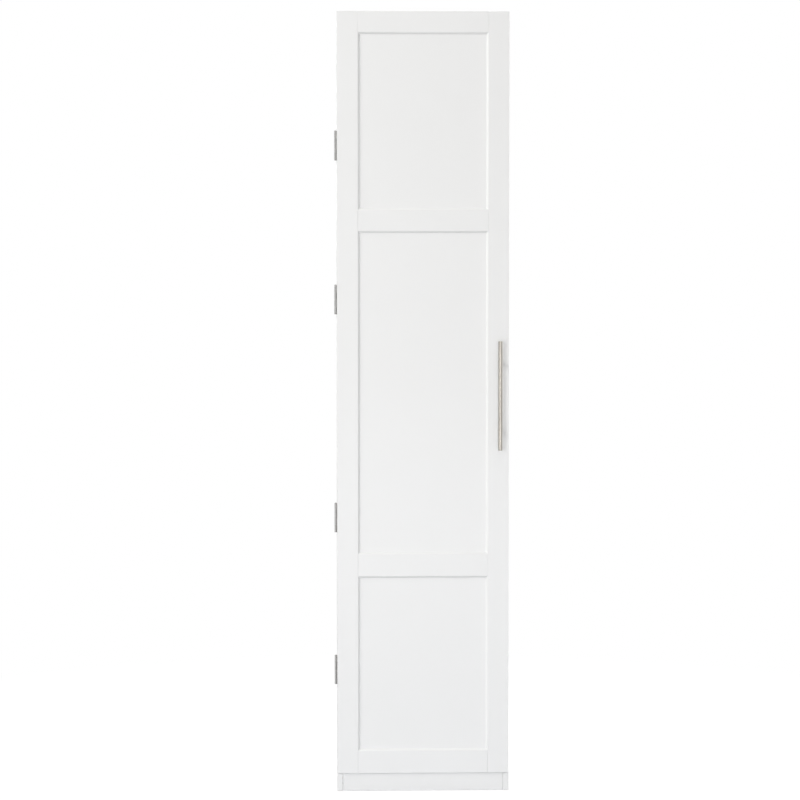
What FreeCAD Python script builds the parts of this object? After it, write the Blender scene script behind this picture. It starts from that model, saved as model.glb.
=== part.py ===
import FreeCAD, Part
import math
import os
import re

import Sketcher

# Broom cupboard with one full-height framed door.
# Frame: +Z up, the door faces -Y, +X to the right, origin on the floor at the middle of the
# cupboard's overall depth and of its side panels' width. Millimetres.

SIZES = [
    # carcass
    ("overall_width", 500.0, "across the outer faces of the side panels"),
    ("overall_height", 2266.0, "floor to the top of the side panels"),
    ("carcass_depth", 377.0, "front to rear edge of a side panel"),
    ("board", 16.0, "thickness of every carcass board"),
    ("back_thickness", 3.0, "hardboard back"),
    ("back_inset", 8.0, "rear edge of a side panel to its back groove"),
    ("back_groove_depth", 6.0, "groove for the back in a side panel"),
    ("back_clearance", 0.1, "play of the back on each face in its groove"),
    ("back_edge_play", 0.5, "back edge to groove bottom"),
    ("plinth_height", 53.0, "floor to the top of the plinth, which carries the carcass"),
    ("plinth_reveal", 2.5, "plinth sides' front ends behind the door's face"),
    ("plinth_setback", 2.0, "front plinth board behind the plinth sides' front ends"),
    ("glide_thickness", 2.0, "floor glide under a plinth side"),
    ("glide_diameter", 14.0, "floor glide"),
    ("glide_inset", 40.0, "glide centre from the front or rear end of a plinth side"),
    ("glide_nail_diameter", 2.0, "nail of a floor glide"),
    ("glide_nail_length", 12.0, "nail of a floor glide above its disc"),
    # inside
    ("fixed_shelf_height", 1796.0, "floor to the top of the fixed shelf"),
    ("broom_bay_width", 268.0, "left side panel to the divider"),
    ("side_shelf_depth", 330.0, "narrow adjustable shelf"),
    ("upper_shelf_depth", 335.0, "full-width adjustable shelf"),
    ("shelf_setback", 20.0, "adjustable shelf behind the carcass front"),
    ("shelf_side_play", 1.5, "adjustable shelf to the board beside it"),
    ("shelf_rest_play", 0.1, "adjustable shelf above its pins"),
    ("shelf_pin_diameter", 5.0, "shelf pin"),
    ("shelf_pin_depth", 8.0, "shelf pin inside its board"),
    ("shelf_pin_reach", 8.0, "shelf pin under its shelf"),
    ("shelf_pin_collar_diameter", 7.0, "collar that stops a shelf pin"),
    ("shelf_pin_collar", 1.2, "thickness of the collar"),
    ("shelf_pin_front", 57.0, "carcass front to the front row of pin holes"),
    ("shelf_pin_row_spacing", 256.0, "front row to rear row of pin holes"),
    ("shelf_hole_pitch", 32.0, "height between neighbouring pin holes"),
    ("shelf_hole_depth", 9.0, "pin hole"),
    # cam and dowel joints
    ("joint_inset", 60.0, "first cam from the front or rear edge of its board"),
    ("dowel_offset", 32.0, "dowel beside its cam"),
    ("cam_diameter", 14.8, "cam lock"),
    ("cam_channel", 7.0, "channel in a cam for its bolt"),
    ("cam_roof", 0.8, "cam above its channel"),
    ("cam_setback", 34.0, "board end to the middle of its cam"),
    ("cam_slot_length", 9.0, "driver slot in a cam"),
    ("cam_slot_width", 1.6, "driver slot in a cam"),
    ("cam_slot_depth", 2.0, "driver slot in a cam"),
    ("cam_bolt_diameter", 6.0, "cam bolt inside its board"),
    ("cam_bolt_thread_diameter", 5.0, "cam bolt inside the side panel"),
    ("cam_bolt_thread_length", 11.0, "cam bolt inside the side panel"),
    ("cam_bolt_collar_diameter", 6.8, "collar of a cam bolt beside the side panel"),
    ("cam_bolt_collar", 2.0, "length of that collar"),
    ("dowel_diameter", 8.0, "wood dowel"),
    ("dowel_length", 30.0, "wood dowel"),
    ("dowel_short_end", 11.0, "dowel inside the board that it stands on"),
    ("plinth_cam_height", 22.0, "floor to a plinth's cam"),
    ("plinth_dowel_height", 40.0, "floor to a plinth's dowel"),
    ("fit_clearance", 0.1, "radial play of cams, dowels, poles and other push fits"),
    ("hole_end_play", 0.5, "hole deeper than what stands in it"),
    ("thread_clearance", 0.05, "radial play of a screw or nail in its pilot hole"),
    # door
    ("door_thickness", 20.0, "stiles and rails"),
    ("door_side_reveal", 1.0, "door edge inside the side panel's outer face"),
    ("door_top_reveal", 2.0, "door top below the carcass top"),
    ("door_lower_gap", 1.0, "plinth to the door's lower edge"),
    ("stile_width", 60.0, "stile"),
    ("upper_rail_width", 60.0, "top rail and upper rail"),
    ("lower_rail_width", 64.0, "lower rail"),
    ("bottom_rail_width", 66.0, "bottom rail"),
    ("end_panel_sight", 511.0, "visible height of the top panel and of the bottom panel"),
    ("panel_thickness", 8.0, "door panel and the rails' tongues"),
    ("panel_recess", 6.0, "door panel behind the face of the frame"),
    ("bead_width", 5.4, "bead round a panel, from the frame inwards"),
    ("bead_step", 0.4, "top of a bead below the face of the frame"),
    ("bead_flat", 0.6, "flat top of a bead beside the frame"),
    ("bead_nose", 0.6, "height of a bead's inner edge"),
    ("door_groove_depth", 10.0, "groove in stiles and rails"),
    ("door_groove_clearance", 0.1, "play on each face of a panel in its groove"),
    ("panel_edge_play", 0.9, "panel edge to groove bottom"),
    ("tongue_end_play", 0.3, "rail tongue to groove bottom"),
    # hinges
    ("hinge_length", 85.0, "butt hinge"),
    ("hinge_bottom_rise", 301.0, "door's lower edge to the middle of the bottom hinge"),
    ("hinge_top_drop", 385.0, "door's top edge to the middle of the top hinge"),
    ("hinge_pair_spacing", 445.0, "an end hinge to the hinge next to it"),
    ("leaf_thickness", 1.5, "hinge leaf"),
    ("leaf_clearance", 0.3, "between the two leaves of a closed hinge"),
    ("leaf_reach", 14.0, "leaf's free edge from the side panel's outer face"),
    ("leaf_root", 2.4, "leaf's rolled edge from the hinge axis"),
    ("knuckle_diameter", 6.5, "hinge knuckle"),
    ("knuckle_side_gap", 0.4, "knuckle to the side panel's outer face"),
    ("knuckle_gap", 0.3, "between neighbouring knuckles"),
    ("hinge_pin_diameter", 3.4, "hinge pin"),
    ("hinge_pin_clearance", 0.05, "radial running play of a hinge pin"),
    ("hinge_pin_head_diameter", 5.2, "head that rests on the top knuckle"),
    ("hinge_pin_head", 1.2, "height of that head"),
    ("hinge_screw_pitch", 29.0, "between neighbouring screws of a leaf"),
    ("screw_diameter", 3.0, "hinge and strike plate screw"),
    ("screw_head_diameter", 5.6, "countersunk head"),
    ("screw_tip", 3.0, "length of a screw's point"),
    ("hinge_screw_length", 16.0, "hinge and strike plate screw"),
    # handle
    ("handle_projection", 35.0, "door face to the front of the handle bar"),
    ("handle_inset", 26.5, "door's free edge to the middle of the handle"),
    ("handle_height", 1156.0, "floor to the middle of the handle"),
    ("handle_bar_diameter", 12.0, "handle bar"),
    ("handle_bar_length", 316.0, "handle bar"),
    ("handle_bar_bevel", 0.8, "bevel on the bar's ends"),
    ("handle_post_spacing", 200.0, "between the two posts"),
    ("handle_post_diameter", 10.0, "handle post"),
    ("handle_post_seat", 3.0, "post let into the bar"),
    ("handle_screw_diameter", 4.0, "handle screw"),
    ("handle_screw_bite", 9.0, "handle screw inside its post"),
    ("handle_screw_play", 0.25, "radial play of a handle screw in the stile"),
    ("handle_screw_head_diameter", 8.0, "pan head"),
    ("handle_screw_head", 2.6, "height of the pan head"),
    # catches and bumpers
    ("catch_top_drop", 68.0, "door's top edge to the middle of the upper catch"),
    ("catch_bottom_rise", 70.0, "door's lower edge to the middle of the lower catch"),
    ("catch_length", 46.0, "catch housing, upright"),
    ("catch_width", 14.0, "catch housing, from the side panel inwards"),
    ("catch_depth", 15.0, "catch housing, front to rear"),
    ("catch_screw_spacing", 36.0, "between the screws of a housing"),
    ("catch_screw_length", 25.0, "catch screw"),
    ("catch_screw_head", 1.8, "height of a pan head"),
    ("magnet_length", 24.0, "catch magnet, upright"),
    ("magnet_width", 5.0, "catch magnet between its pole plates"),
    ("magnet_depth", 11.0, "catch magnet, front to rear"),
    ("pole_thickness", 1.2, "pole plate"),
    ("pole_length", 26.0, "pole plate, upright"),
    ("pole_depth", 12.0, "pole plate inside the housing"),
    ("strike_length", 36.0, "strike plate, upright"),
    ("strike_width", 13.0, "strike plate"),
    ("strike_thickness", 1.5, "strike plate"),
    ("contact_gap", 0.3, "closed door to its catches and bumpers"),
    ("bumper_diameter", 9.0, "door bumper"),
    ("bumper_shoulder", 1.7, "height of a bumper below its slope"),
    ("bumper_crown_diameter", 6.3, "top of a bumper"),
    ("bumper_spacing", 60.0, "a bumper to the middle of the catch near it"),
    # fixings
    ("divider_screw_diameter", 5.0, "screw through a shelf into the divider"),
    ("divider_screw_length", 50.0, "the same screw"),
    ("divider_screw_head_diameter", 9.0, "its countersunk head"),
    ("nail_diameter", 1.4, "back panel nail"),
    ("nail_length", 20.0, "back panel nail under its head"),
    ("nail_head_diameter", 3.6, "back panel nail"),
    ("nail_head", 0.6, "back panel nail"),
    ("nail_inset", 40.0, "first nail from the end of its board"),
    ("nail_edge", 4.0, "nail from the middle of the fixed shelf's rear edge"),
    ("bracket_spacing", 300.0, "between the two wall brackets"),
    ("bracket_leg", 30.0, "leg of a wall bracket"),
    ("bracket_width", 20.0, "wall bracket"),
    ("bracket_thickness", 2.0, "wall bracket"),
    ("bracket_hole_diameter", 5.5, "hole for the wall fixing"),
    ("bracket_screw_diameter", 3.5, "screw up into the top panel"),
    ("bracket_screw_length", 13.0, "the same screw"),
    ("bracket_screw_head_diameter", 7.0, "its pan head"),
    ("bracket_screw_head", 2.2, "height of its pan head"),
]

# Places and sizes that follow from the ones above.
PLACES = [
    ("door_gap", "2 * leaf_thickness + leaf_clearance"),
    ("total_depth", "handle_projection + door_thickness + door_gap + carcass_depth"),
    ("side_rear", "total_depth / 2"),
    ("front", "side_rear - carcass_depth"),
    ("door_back", "front - door_gap"),
    ("door_front", "door_back - door_thickness"),
    ("right_face", "overall_width / 2"),
    ("inner_right", "overall_width / 2 - board"),
    ("left_face", "0 - right_face"),
    ("inner_left", "0 - inner_right"),
    # back and depth of the inner boards
    ("groove_rear", "side_rear - back_inset"),
    ("back_front", "groove_rear - back_clearance - back_thickness"),
    ("groove_front", "back_front - back_clearance"),
    ("back_half_width", "inner_right + back_groove_depth - back_edge_play"),
    # heights
    ("bottom_top", "plinth_height + board"),
    ("bottom_middle", "plinth_height + board / 2"),
    ("door_bottom_height", "plinth_height + door_lower_gap"),
    ("shelf_underside", "fixed_shelf_height - board"),
    ("shelf_middle", "fixed_shelf_height - board / 2"),
    ("top_underside", "overall_height - board"),
    ("top_middle", "overall_height - board / 2"),
    ("divider_left", "inner_left + broom_bay_width"),
    ("divider_right", "divider_left + board"),
    ("divider_middle", "divider_left + board / 2"),
    # cam and dowel joints
    ("joint_front", "front + joint_inset"),
    ("joint_rear", "back_front - joint_inset"),
    ("dowel_front", "joint_front + dowel_offset"),
    ("dowel_rear", "joint_rear - dowel_offset"),
    ("cam_bore_diameter", "cam_diameter + 2 * fit_clearance"),
    ("cam_height", "(board + cam_channel) / 2 + cam_roof"),
    ("cam_bore_depth", "cam_height + 2 * fit_clearance"),
    ("cam_left", "inner_left + cam_setback"),
    ("cam_right", "inner_right - cam_setback"),
    ("cam_bolt_bore", "cam_bolt_collar_diameter + 2 * fit_clearance"),
    ("cam_bolt_thread_bore", "cam_bolt_thread_diameter + 2 * thread_clearance"),
    ("cam_bolt_thread_hole", "cam_bolt_thread_length + hole_end_play"),
    ("dowel_bore", "dowel_diameter + 2 * fit_clearance"),
    ("dowel_short_hole", "dowel_short_end + hole_end_play"),
    ("dowel_long_hole", "dowel_length - dowel_short_end + hole_end_play"),
    ("carcass_dowel_front", "joint_front + dowel_offset / 2"),
    ("carcass_dowel_rear", "joint_rear - dowel_offset / 2"),
    ("plinth_end", "door_front + plinth_reveal"),
    ("plinth_front_face", "plinth_end + plinth_setback"),
    ("plinth_front_middle", "plinth_front_face + board / 2"),
    ("plinth_rear_face", "back_front - board"),
    ("plinth_rear_middle", "plinth_rear_face + board / 2"),
    # adjustable shelves
    ("side_shelf_left", "divider_right + shelf_side_play"),
    ("upper_shelf_left", "inner_left + shelf_side_play"),
    ("shelf_right", "inner_right - shelf_side_play"),
    ("shelf_front", "front + shelf_setback"),
    ("pin_row_front", "front + shelf_pin_front"),
    ("pin_row_rear", "pin_row_front + shelf_pin_row_spacing"),
    ("pin_drop", "shelf_pin_diameter / 2 + shelf_rest_play"),
    ("pin_hole_diameter", "shelf_pin_diameter + 2 * fit_clearance"),
    ("upper_shelf_height", "(fixed_shelf_height + top_underside - board) / 2"),
    # door
    ("door_left", "left_face + door_side_reveal"),
    ("door_right", "right_face - door_side_reveal"),
    ("door_top", "overall_height - door_top_reveal"),
    ("door_height", "door_top - door_bottom_height"),
    ("sight_left", "door_left + stile_width"),
    ("sight_right", "door_right - stile_width"),
    ("panel_front", "door_front + panel_recess"),
    ("panel_back", "panel_front + panel_thickness"),
    ("bead_height", "panel_recess - bead_step"),
    ("door_groove_front", "panel_front - door_groove_clearance"),
    ("door_groove_back", "panel_back + door_groove_clearance"),
    ("panel_bite", "door_groove_depth - panel_edge_play"),
    ("tongue_bite", "door_groove_depth - tongue_end_play"),
    ("rail_bottom_z", "door_bottom_height"),
    ("rail_lower_z", "door_bottom_height + bottom_rail_width + end_panel_sight"),
    ("rail_upper_z", "door_top - end_panel_sight - 2 * upper_rail_width"),
    ("rail_top_z", "door_top - upper_rail_width"),
    # hinges
    ("hinge_plane", "front - leaf_thickness - leaf_clearance / 2"),
    ("hinge_axis", "left_face - knuckle_side_gap - knuckle_diameter / 2"),
    ("leaf_edge", "left_face + leaf_reach"),
    ("leaf_screw_x", "left_face + leaf_reach / 2"),
    ("knuckle_pitch", "(hinge_length + knuckle_gap) / 4"),
    ("knuckle_length", "knuckle_pitch - knuckle_gap"),
    ("knuckle_bore", "hinge_pin_diameter + 2 * hinge_pin_clearance"),
    ("screw_pilot", "screw_diameter + 2 * thread_clearance"),
    ("screw_head_cut", "screw_head_diameter + 2 * thread_clearance"),
    ("screw_pilot_depth", "hinge_screw_length - leaf_thickness + hole_end_play"),
    ("hinge_bottom_z", "door_bottom_height + hinge_bottom_rise"),
    ("hinge_lower_z", "hinge_bottom_z + hinge_pair_spacing"),
    ("hinge_top_z", "door_top - hinge_top_drop"),
    ("hinge_upper_z", "hinge_top_z - hinge_pair_spacing"),
    # handle
    ("handle_x", "door_right - handle_inset"),
    ("handle_bar_y", "door_front - handle_projection + handle_bar_diameter / 2"),
    ("handle_bar_rear", "handle_bar_y + handle_bar_diameter / 2"),
    ("handle_post_length", "door_front - handle_bar_rear + handle_post_seat"),
    ("handle_post_upper_z", "handle_height + handle_post_spacing / 2"),
    ("handle_post_lower_z", "handle_height - handle_post_spacing / 2"),
    ("handle_screw_length", "door_thickness + handle_screw_bite"),
    # catches and bumpers
    ("catch_lower_height", "door_bottom_height + catch_bottom_rise"),
    ("catch_upper_height", "door_top - catch_top_drop"),
    ("bumper_lower_height", "catch_lower_height + bumper_spacing"),
    ("bumper_upper_height", "catch_upper_height - bumper_spacing"),
    ("catch_left", "inner_right - catch_width"),
    ("catch_middle", "inner_right - catch_width / 2"),
    ("pole_reach", "door_gap - strike_thickness - contact_gap"),
    ("magnet_left", "catch_middle - magnet_width / 2"),
    ("magnet_right", "catch_middle + magnet_width / 2"),
    ("bumper_x", "inner_right + board / 2"),
    ("bumper_thickness", "door_gap - contact_gap"),
    # fixings
    ("divider_screw_pilot", "divider_screw_diameter + 2 * thread_clearance"),
    ("divider_screw_head_cut", "divider_screw_head_diameter + 2 * thread_clearance"),
    ("divider_screw_hole", "divider_screw_length - board + hole_end_play"),
    ("nail_hole", "nail_diameter + 2 * thread_clearance"),
    ("nail_pilot_depth", "nail_length - back_thickness + hole_end_play"),
    ("nail_left", "inner_left + nail_inset"),
    ("nail_right", "inner_right - nail_inset"),
    ("bracket_left_x", "0 - bracket_spacing / 2"),
    ("bracket_right_x", "bracket_spacing / 2"),
    ("bracket_hole_z", "top_underside - bracket_leg / 2"),
    ("bracket_screw_y", "back_front - bracket_leg / 2"),
    ("bracket_screw_pilot", "bracket_screw_diameter + 2 * thread_clearance"),
    ("bracket_pilot_depth", "bracket_screw_length - bracket_thickness + hole_end_play"),
]

SIDE_SHELVES = 4
SHELF_POSITIONS = 3
NAILS_PER_BOARD = 4
SCREWS_PER_LEAF = 3
HINGES = ("bottom", "lower", "upper", "top")

doc = FreeCAD.newDocument("broom_cupboard")
SHEET_OF = {}


def fill_sheet(name, rows):
    """Spreadsheet with an alias and a value, number or formula, on each row."""
    sheet = doc.addObject("Spreadsheet::Sheet", name)
    for number, (alias, content) in enumerate(rows, start=1):
        sheet.set(f"A{number}", alias)
        sheet.set(f"B{number}", content)
        sheet.setAlias(f"B{number}", alias)
        SHEET_OF[alias] = name
    return sheet


def linked(expression):
    """The expression with each alias in it prefixed by the sheet that holds it."""
    return re.sub(r"[a-z][a-z_]+", lambda word: f"{SHEET_OF[word[0]]}.{word[0]}", expression)


def build_sheets():
    """Driving sizes as plain numbers, then the places worked out from them."""
    sizes = fill_sheet("Sizes", [(alias, str(value)) for alias, value, _ in SIZES])
    for number, (_, _, meaning) in enumerate(SIZES, start=1):
        sizes.set(f"C{number}", meaning)
    for alias, _ in PLACES:
        SHEET_OF[alias] = "Places"
    fill_sheet("Places", [(alias, f"={linked(formula)}") for alias, formula in PLACES])
    doc.recompute()


def bind(target, prop, expression):
    """Tie a property to the sheets."""
    target.setExpression(prop, linked(expression))


# Way of a pad or cut: the body's plane, the sign of the plane's offset, and whether the
# feature runs along that plane's normal.
WAYS = {
    "+x": ("YZ_Plane", "", True),
    "-x": ("YZ_Plane", "", False),
    "+y": ("XZ_Plane", "-", False),
    "-y": ("XZ_Plane", "-", True),
    "+z": ("XY_Plane", "", True),
    "-z": ("XY_Plane", "", False),
}
PLANE_AXES = {"YZ_Plane": "yz", "XZ_Plane": "xz", "XY_Plane": "xy"}


class Piece:
    """A PartDesign body; its methods take places in the cupboard's frame, as expressions."""

    def __init__(self, label, place=("0", "0", "0")):
        self.body = doc.addObject("PartDesign::Body", label)
        self.body.Label = label
        self.place = dict(zip("xyz", place))
        self.features = 0
        for axis, expression in self.place.items():
            bind(self.body, f"Placement.Base.{axis}", expression)

    def local(self, axis, expression):
        """A place along one axis, taken from the body's own corner."""
        return f"({expression}) - ({self.place[axis]})"

    def name(self, kind):
        """Name for the body's next feature or sketch."""
        self.features += 1
        return f"{self.body.Name}_{kind}_{self.features}"

    def sketch(self, plane, sign="", start="0"):
        """Empty sketch on one of the body's own planes, moved along the plane's normal."""
        origin = self.body.Origin.OriginFeatures
        support = next(feature for feature in origin if feature.Role == plane)
        flat = self.body.newObject("Sketcher::SketchObject", self.name("sketch"))
        flat.AttachmentSupport = (support, [""])
        flat.MapMode = "FlatFace"
        bind(flat, "AttachmentOffset.Base.z", f"{sign}({start})")
        return flat

    def sketch_for(self, way, start):
        """Sketch for a feature along way that begins at start."""
        plane, sign, _ = WAYS[way]
        return self.sketch(plane, sign, self.local(way[1], start))

    def pin(self, flat, geometry, point, x, y):
        """Hold one point of the sketch at (x, y) from the sketch's origin."""
        for kind, expression in (("DistanceX", x), ("DistanceY", y)):
            index = flat.addConstraint(Sketcher.Constraint(kind, -1, 1, geometry, point, 1.0))
            bind(flat, f"Constraints[{index}]", expression)

    def outline(self, flat, corners):
        """Closed outline with straight sides."""
        count = len(corners)
        turns = [2 * math.pi * step / count for step in range(count)]
        spots = [FreeCAD.Vector(math.cos(turn), math.sin(turn), 0) for turn in turns]
        for step in range(count):
            flat.addGeometry(Part.LineSegment(spots[step], spots[(step + 1) % count]), False)
        for step in range(count):
            following = (step + 1) % count
            flat.addConstraint(Sketcher.Constraint("Coincident", step, 2, following, 1))
        for step, (x, y) in enumerate(corners):
            self.pin(flat, step, 1, x, y)

    def in_plane(self, way, corners):
        """Corners taken from the body's own corner, in the two axes across way."""
        first, second = PLANE_AXES[WAYS[way][0]]
        return [(self.local(first, x), self.local(second, y)) for x, y in corners]

    def extrude(self, way, start, corners, length):
        """Prism with straight sides."""
        flat = self.sketch_for(way, start)
        self.outline(flat, self.in_plane(way, corners))
        return self.pad(flat, way, length)

    def pad(self, flat, way, length):
        """Pad along way. A pad's own sense is the opposite of a pocket's."""
        feature = self.body.newObject("PartDesign::Pad", self.name("pad"))
        feature.Profile = flat
        feature.Reversed = not WAYS[way][2]
        bind(feature, "Length", length)
        return feature

    def pocket(self, flat, way, depth):
        """Pocket along way."""
        feature = self.body.newObject("PartDesign::Pocket", self.name("pocket"))
        feature.Profile = flat
        feature.Reversed = WAYS[way][2]
        bind(feature, "Length", depth)
        return feature

    def cut(self, way, start, corners, depth):
        """Pocket with straight sides."""
        flat = self.sketch_for(way, start)
        self.outline(flat, self.in_plane(way, corners))
        return self.pocket(flat, way, depth)

    def circles(self, way, start, centres, diameter):
        """Sketch of equal circles."""
        flat = self.sketch_for(way, start)
        for number, (x, y) in enumerate(self.in_plane(way, centres)):
            ring = Part.Circle(FreeCAD.Vector(number, 0, 0), FreeCAD.Vector(0, 0, 1), 0.4)
            flat.addGeometry(ring, False)
            self.pin(flat, number, 3, x, y)
            index = flat.addConstraint(Sketcher.Constraint("Diameter", number, 0.8))
            bind(flat, f"Constraints[{index}]", diameter)
        return flat

    def drill(self, way, start, centres, diameter, depth):
        """Round holes along way."""
        return self.pocket(self.circles(way, start, centres, diameter), way, depth)

    def countersink(self, way, start, centres, diameter, head):
        """Countersunk holes right through, entered along way."""
        flat = self.circles(way, start, centres, diameter)
        doc.recompute()
        feature = self.body.newObject("PartDesign::Hole", self.name("hole"))
        feature.Profile = flat
        feature.Reversed = WAYS[way][2]
        feature.DepthType = "ThroughAll"
        feature.HoleCutType = "Countersink"
        feature.HoleCutCustomValues = True
        feature.HoleCutCountersinkAngle = 90
        bind(feature, "Diameter", diameter)
        bind(feature, "HoleCutDiameter", head)
        return feature

    def repeat(self, feature, plane_axis, spacing, count):
        """The same feature again, count times in all, along one of the body's axes."""
        origin = self.body.Origin.OriginFeatures
        axis = next(item for item in origin if item.Role == plane_axis)
        row = self.body.newObject("PartDesign::LinearPattern", self.name("row"))
        row.Originals = [feature]
        row.Direction = (axis, [""])
        row.Mode = "Spacing"
        row.Occurrences = count
        bind(row, "Offset", spacing)
        self.body.Tip = row
        return row

    def turned(self, profile):
        """Turned piece about the body's own Z axis; profile is a list of (radius, height)."""
        flat = self.sketch("XZ_Plane")
        self.outline(flat, profile)
        feature = self.body.newObject("PartDesign::Revolution", self.name("turned"))
        feature.Profile = flat
        feature.ReferenceAxis = (flat, ["V_Axis"])
        feature.Angle = 360
        return feature


nodes = []


def node(made):
    """Keep an object for export, and hand it back."""
    nodes.append(made)
    return made


def plain_box(label, place, sides):
    """Rectangular piece with its lowest corner at place."""
    box = doc.addObject("Part::Box", label)
    box.Label = label
    for axis, expression in zip("xyz", place):
        bind(box, f"Placement.Base.{axis}", expression)
    for prop, expression in zip(("Length", "Width", "Height"), sides):
        bind(box, prop, expression)
    return box


def rectangle(low_x, low_y, high_x, high_y):
    """Four corners of a rectangle."""
    return [(low_x, low_y), (high_x, low_y), (high_x, high_y), (low_x, high_y)]


def spin(x, y, z, degrees):
    """Rotation about an axis through the origin."""
    return FreeCAD.Rotation(FreeCAD.Vector(x, y, z), degrees)


# Turns that point a master's own +Z along another axis.
UP = FreeCAD.Rotation()
TO_RIGHT = spin(0, 1, 0, 90)
TO_LEFT = spin(0, 1, 0, -90)
TO_REAR = spin(1, 0, 0, -90)
TO_FRONT = spin(1, 0, 0, 90)
DOWN = spin(1, 0, 0, 180)
HALF_TURN = spin(0, 0, 1, 180)


def group(label, master, spots):
    """One node of identical separate solids: a copy of master at each (place, turn)."""
    copies = []
    for number, (place, turn) in enumerate(spots, start=1):
        copy = doc.addObject("App::Link", f"{label}_{number}")
        copy.LinkedObject = master
        copy.LinkTransform = False
        copy.Placement = FreeCAD.Placement(FreeCAD.Vector(), turn)
        for axis, expression in zip("xyz", place):
            bind(copy, f"Placement.Base.{axis}", expression)
        copies.append(copy)
    compound = doc.addObject("Part::Compound", label)
    compound.Label = label
    compound.Links = copies
    return node(compound)


def spread(low, high, count):
    """Evenly spaced places from low to high."""
    steps = count - 1
    return [f"{low} + ({high} - {low}) * {step} / {steps}" for step in range(count)]


# Screws, pins and other turned hardware

def flat_screw(label, diameter, head, length):
    """Countersunk screw: face of the head at the origin, shank down."""
    cone = f"({head} - {diameter}) / 2"
    piece = Piece(label)
    piece.turned([
        ("0", "0"),
        (f"{head} / 2", "0"),
        (f"{diameter} / 2", f"0 - {cone}"),
        (f"{diameter} / 2", f"screw_tip - {length}"),
        ("0", f"0 - {length}"),
    ])
    return piece.body


def pan_screw(label, diameter, head, head_height, length):
    """Pan-head screw: underside of the head at the origin, shank down."""
    piece = Piece(label)
    piece.turned([
        ("0", head_height),
        (f"{head} / 2 - {head_height} / 2", head_height),
        (f"{head} / 2", f"{head_height} / 2"),
        (f"{head} / 2", "0"),
        (f"{diameter} / 2", "0"),
        (f"{diameter} / 2", f"0 - {length}"),
        ("0", f"0 - {length}"),
    ])
    return piece.body


# Carcass boards

def hinge_screw_heights():
    """Height of every hinge screw."""
    offsets = [step - (SCREWS_PER_LEAF - 1) / 2 for step in range(SCREWS_PER_LEAF)]
    return [f"hinge_{hinge}_z + {offset} * hinge_screw_pitch"
            for hinge in HINGES for offset in offsets]


def joint_places():
    """(y, z) of the cam bolts and of the dowels on a side panel's inner face."""
    heights = ("bottom_middle", "shelf_middle", "top_middle")
    bolts = [(depth, height) for height in heights for depth in ("joint_front", "joint_rear")]
    dowels = [(depth, height) for height in heights for depth in ("dowel_front", "dowel_rear")]
    return bolts, dowels


def plinth_joint_places():
    """(y, z) of the cam bolts and of the dowels on a plinth side's inner face."""
    boards = ("plinth_front_middle", "plinth_rear_middle")
    bolts = [(depth, "plinth_cam_height") for depth in boards]
    dowels = [(depth, "plinth_dowel_height") for depth in boards]
    return bolts, dowels


def carcass_dowels(middle):
    """(x, y) of the upright dowels between a plinth side and its side panel."""
    return [(middle, depth) for depth in ("carcass_dowel_front", "carcass_dowel_rear")]


def side_shelf_underside(number):
    """Underside of a narrow shelf; they share the bay's height evenly."""
    clear = "(shelf_underside + board - bottom_top)"
    return f"bottom_top - board + {clear} * {number} / {SIDE_SHELVES + 1}"


def pin_holes(piece, way, face, underside):
    """Pin holes for one adjustable shelf: two rows, with spare positions above and below."""
    lowest = f"{underside} - pin_drop - shelf_hole_pitch * {SHELF_POSITIONS // 2}"
    rows = [("pin_row_front", lowest), ("pin_row_rear", lowest)]
    holes = piece.drill(way, face, rows, "pin_hole_diameter", "shelf_hole_depth")
    piece.repeat(holes, "Z_Axis", "shelf_hole_pitch", SHELF_POSITIONS)


def side_panel(side):
    """Side panel with its back groove and the holes in its inner face."""
    sign, way = ("0 - ", "-x") if side == "left" else ("", "+x")
    outer = f"{sign}(overall_width / 2)"
    inner = f"{sign}(overall_width / 2 - board)"
    groove = f"{sign}(inner_right + back_groove_depth)"
    piece = Piece(f"side_panel_{side}", (outer, "front", "plinth_height"))
    piece.extrude("+z", "plinth_height", [
        (outer, "front"),
        (inner, "front"),
        (inner, "groove_front"),
        (groove, "groove_front"),
        (groove, "groove_rear"),
        (inner, "groove_rear"),
        (inner, "side_rear"),
        (outer, "side_rear"),
    ], "overall_height - plinth_height")
    bolts, dowels = joint_places()
    piece.drill(way, inner, bolts, "cam_bolt_thread_bore", "cam_bolt_thread_hole")
    piece.drill(way, inner, dowels, "dowel_bore", "dowel_short_hole")
    middle = f"{sign}(overall_width / 2 - board / 2)"
    piece.drill("+z", "plinth_height", carcass_dowels(middle), "dowel_bore", "dowel_long_hole")
    pin_holes(piece, way, inner, "upper_shelf_height")
    if side == "left":
        hinge_screws = [("leaf_screw_x", height) for height in hinge_screw_heights()]
        piece.drill("+y", "front", hinge_screws, "screw_pilot", "screw_pilot_depth")
    else:
        for number in range(1, SIDE_SHELVES + 1):
            pin_holes(piece, way, inner, side_shelf_underside(number))
        catch_y = "front + catch_depth / 2"
        catch_screws = [(catch_y, height) for height in catch_screw_heights()]
        depth = "catch_screw_length - catch_width + hole_end_play"
        piece.drill(way, inner, catch_screws, "screw_pilot", depth)
    return node(piece.body)


def end_bores(piece, bolts, dowels):
    """Cam bolt and dowel bores in both ends of a board, at (y, z) places."""
    for way, end in (("+x", "inner_left"), ("-x", "inner_right")):
        piece.drill(way, end, bolts, "cam_bolt_bore", "cam_setback")
        piece.drill(way, end, dowels, "dowel_bore", "dowel_long_hole")


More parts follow.
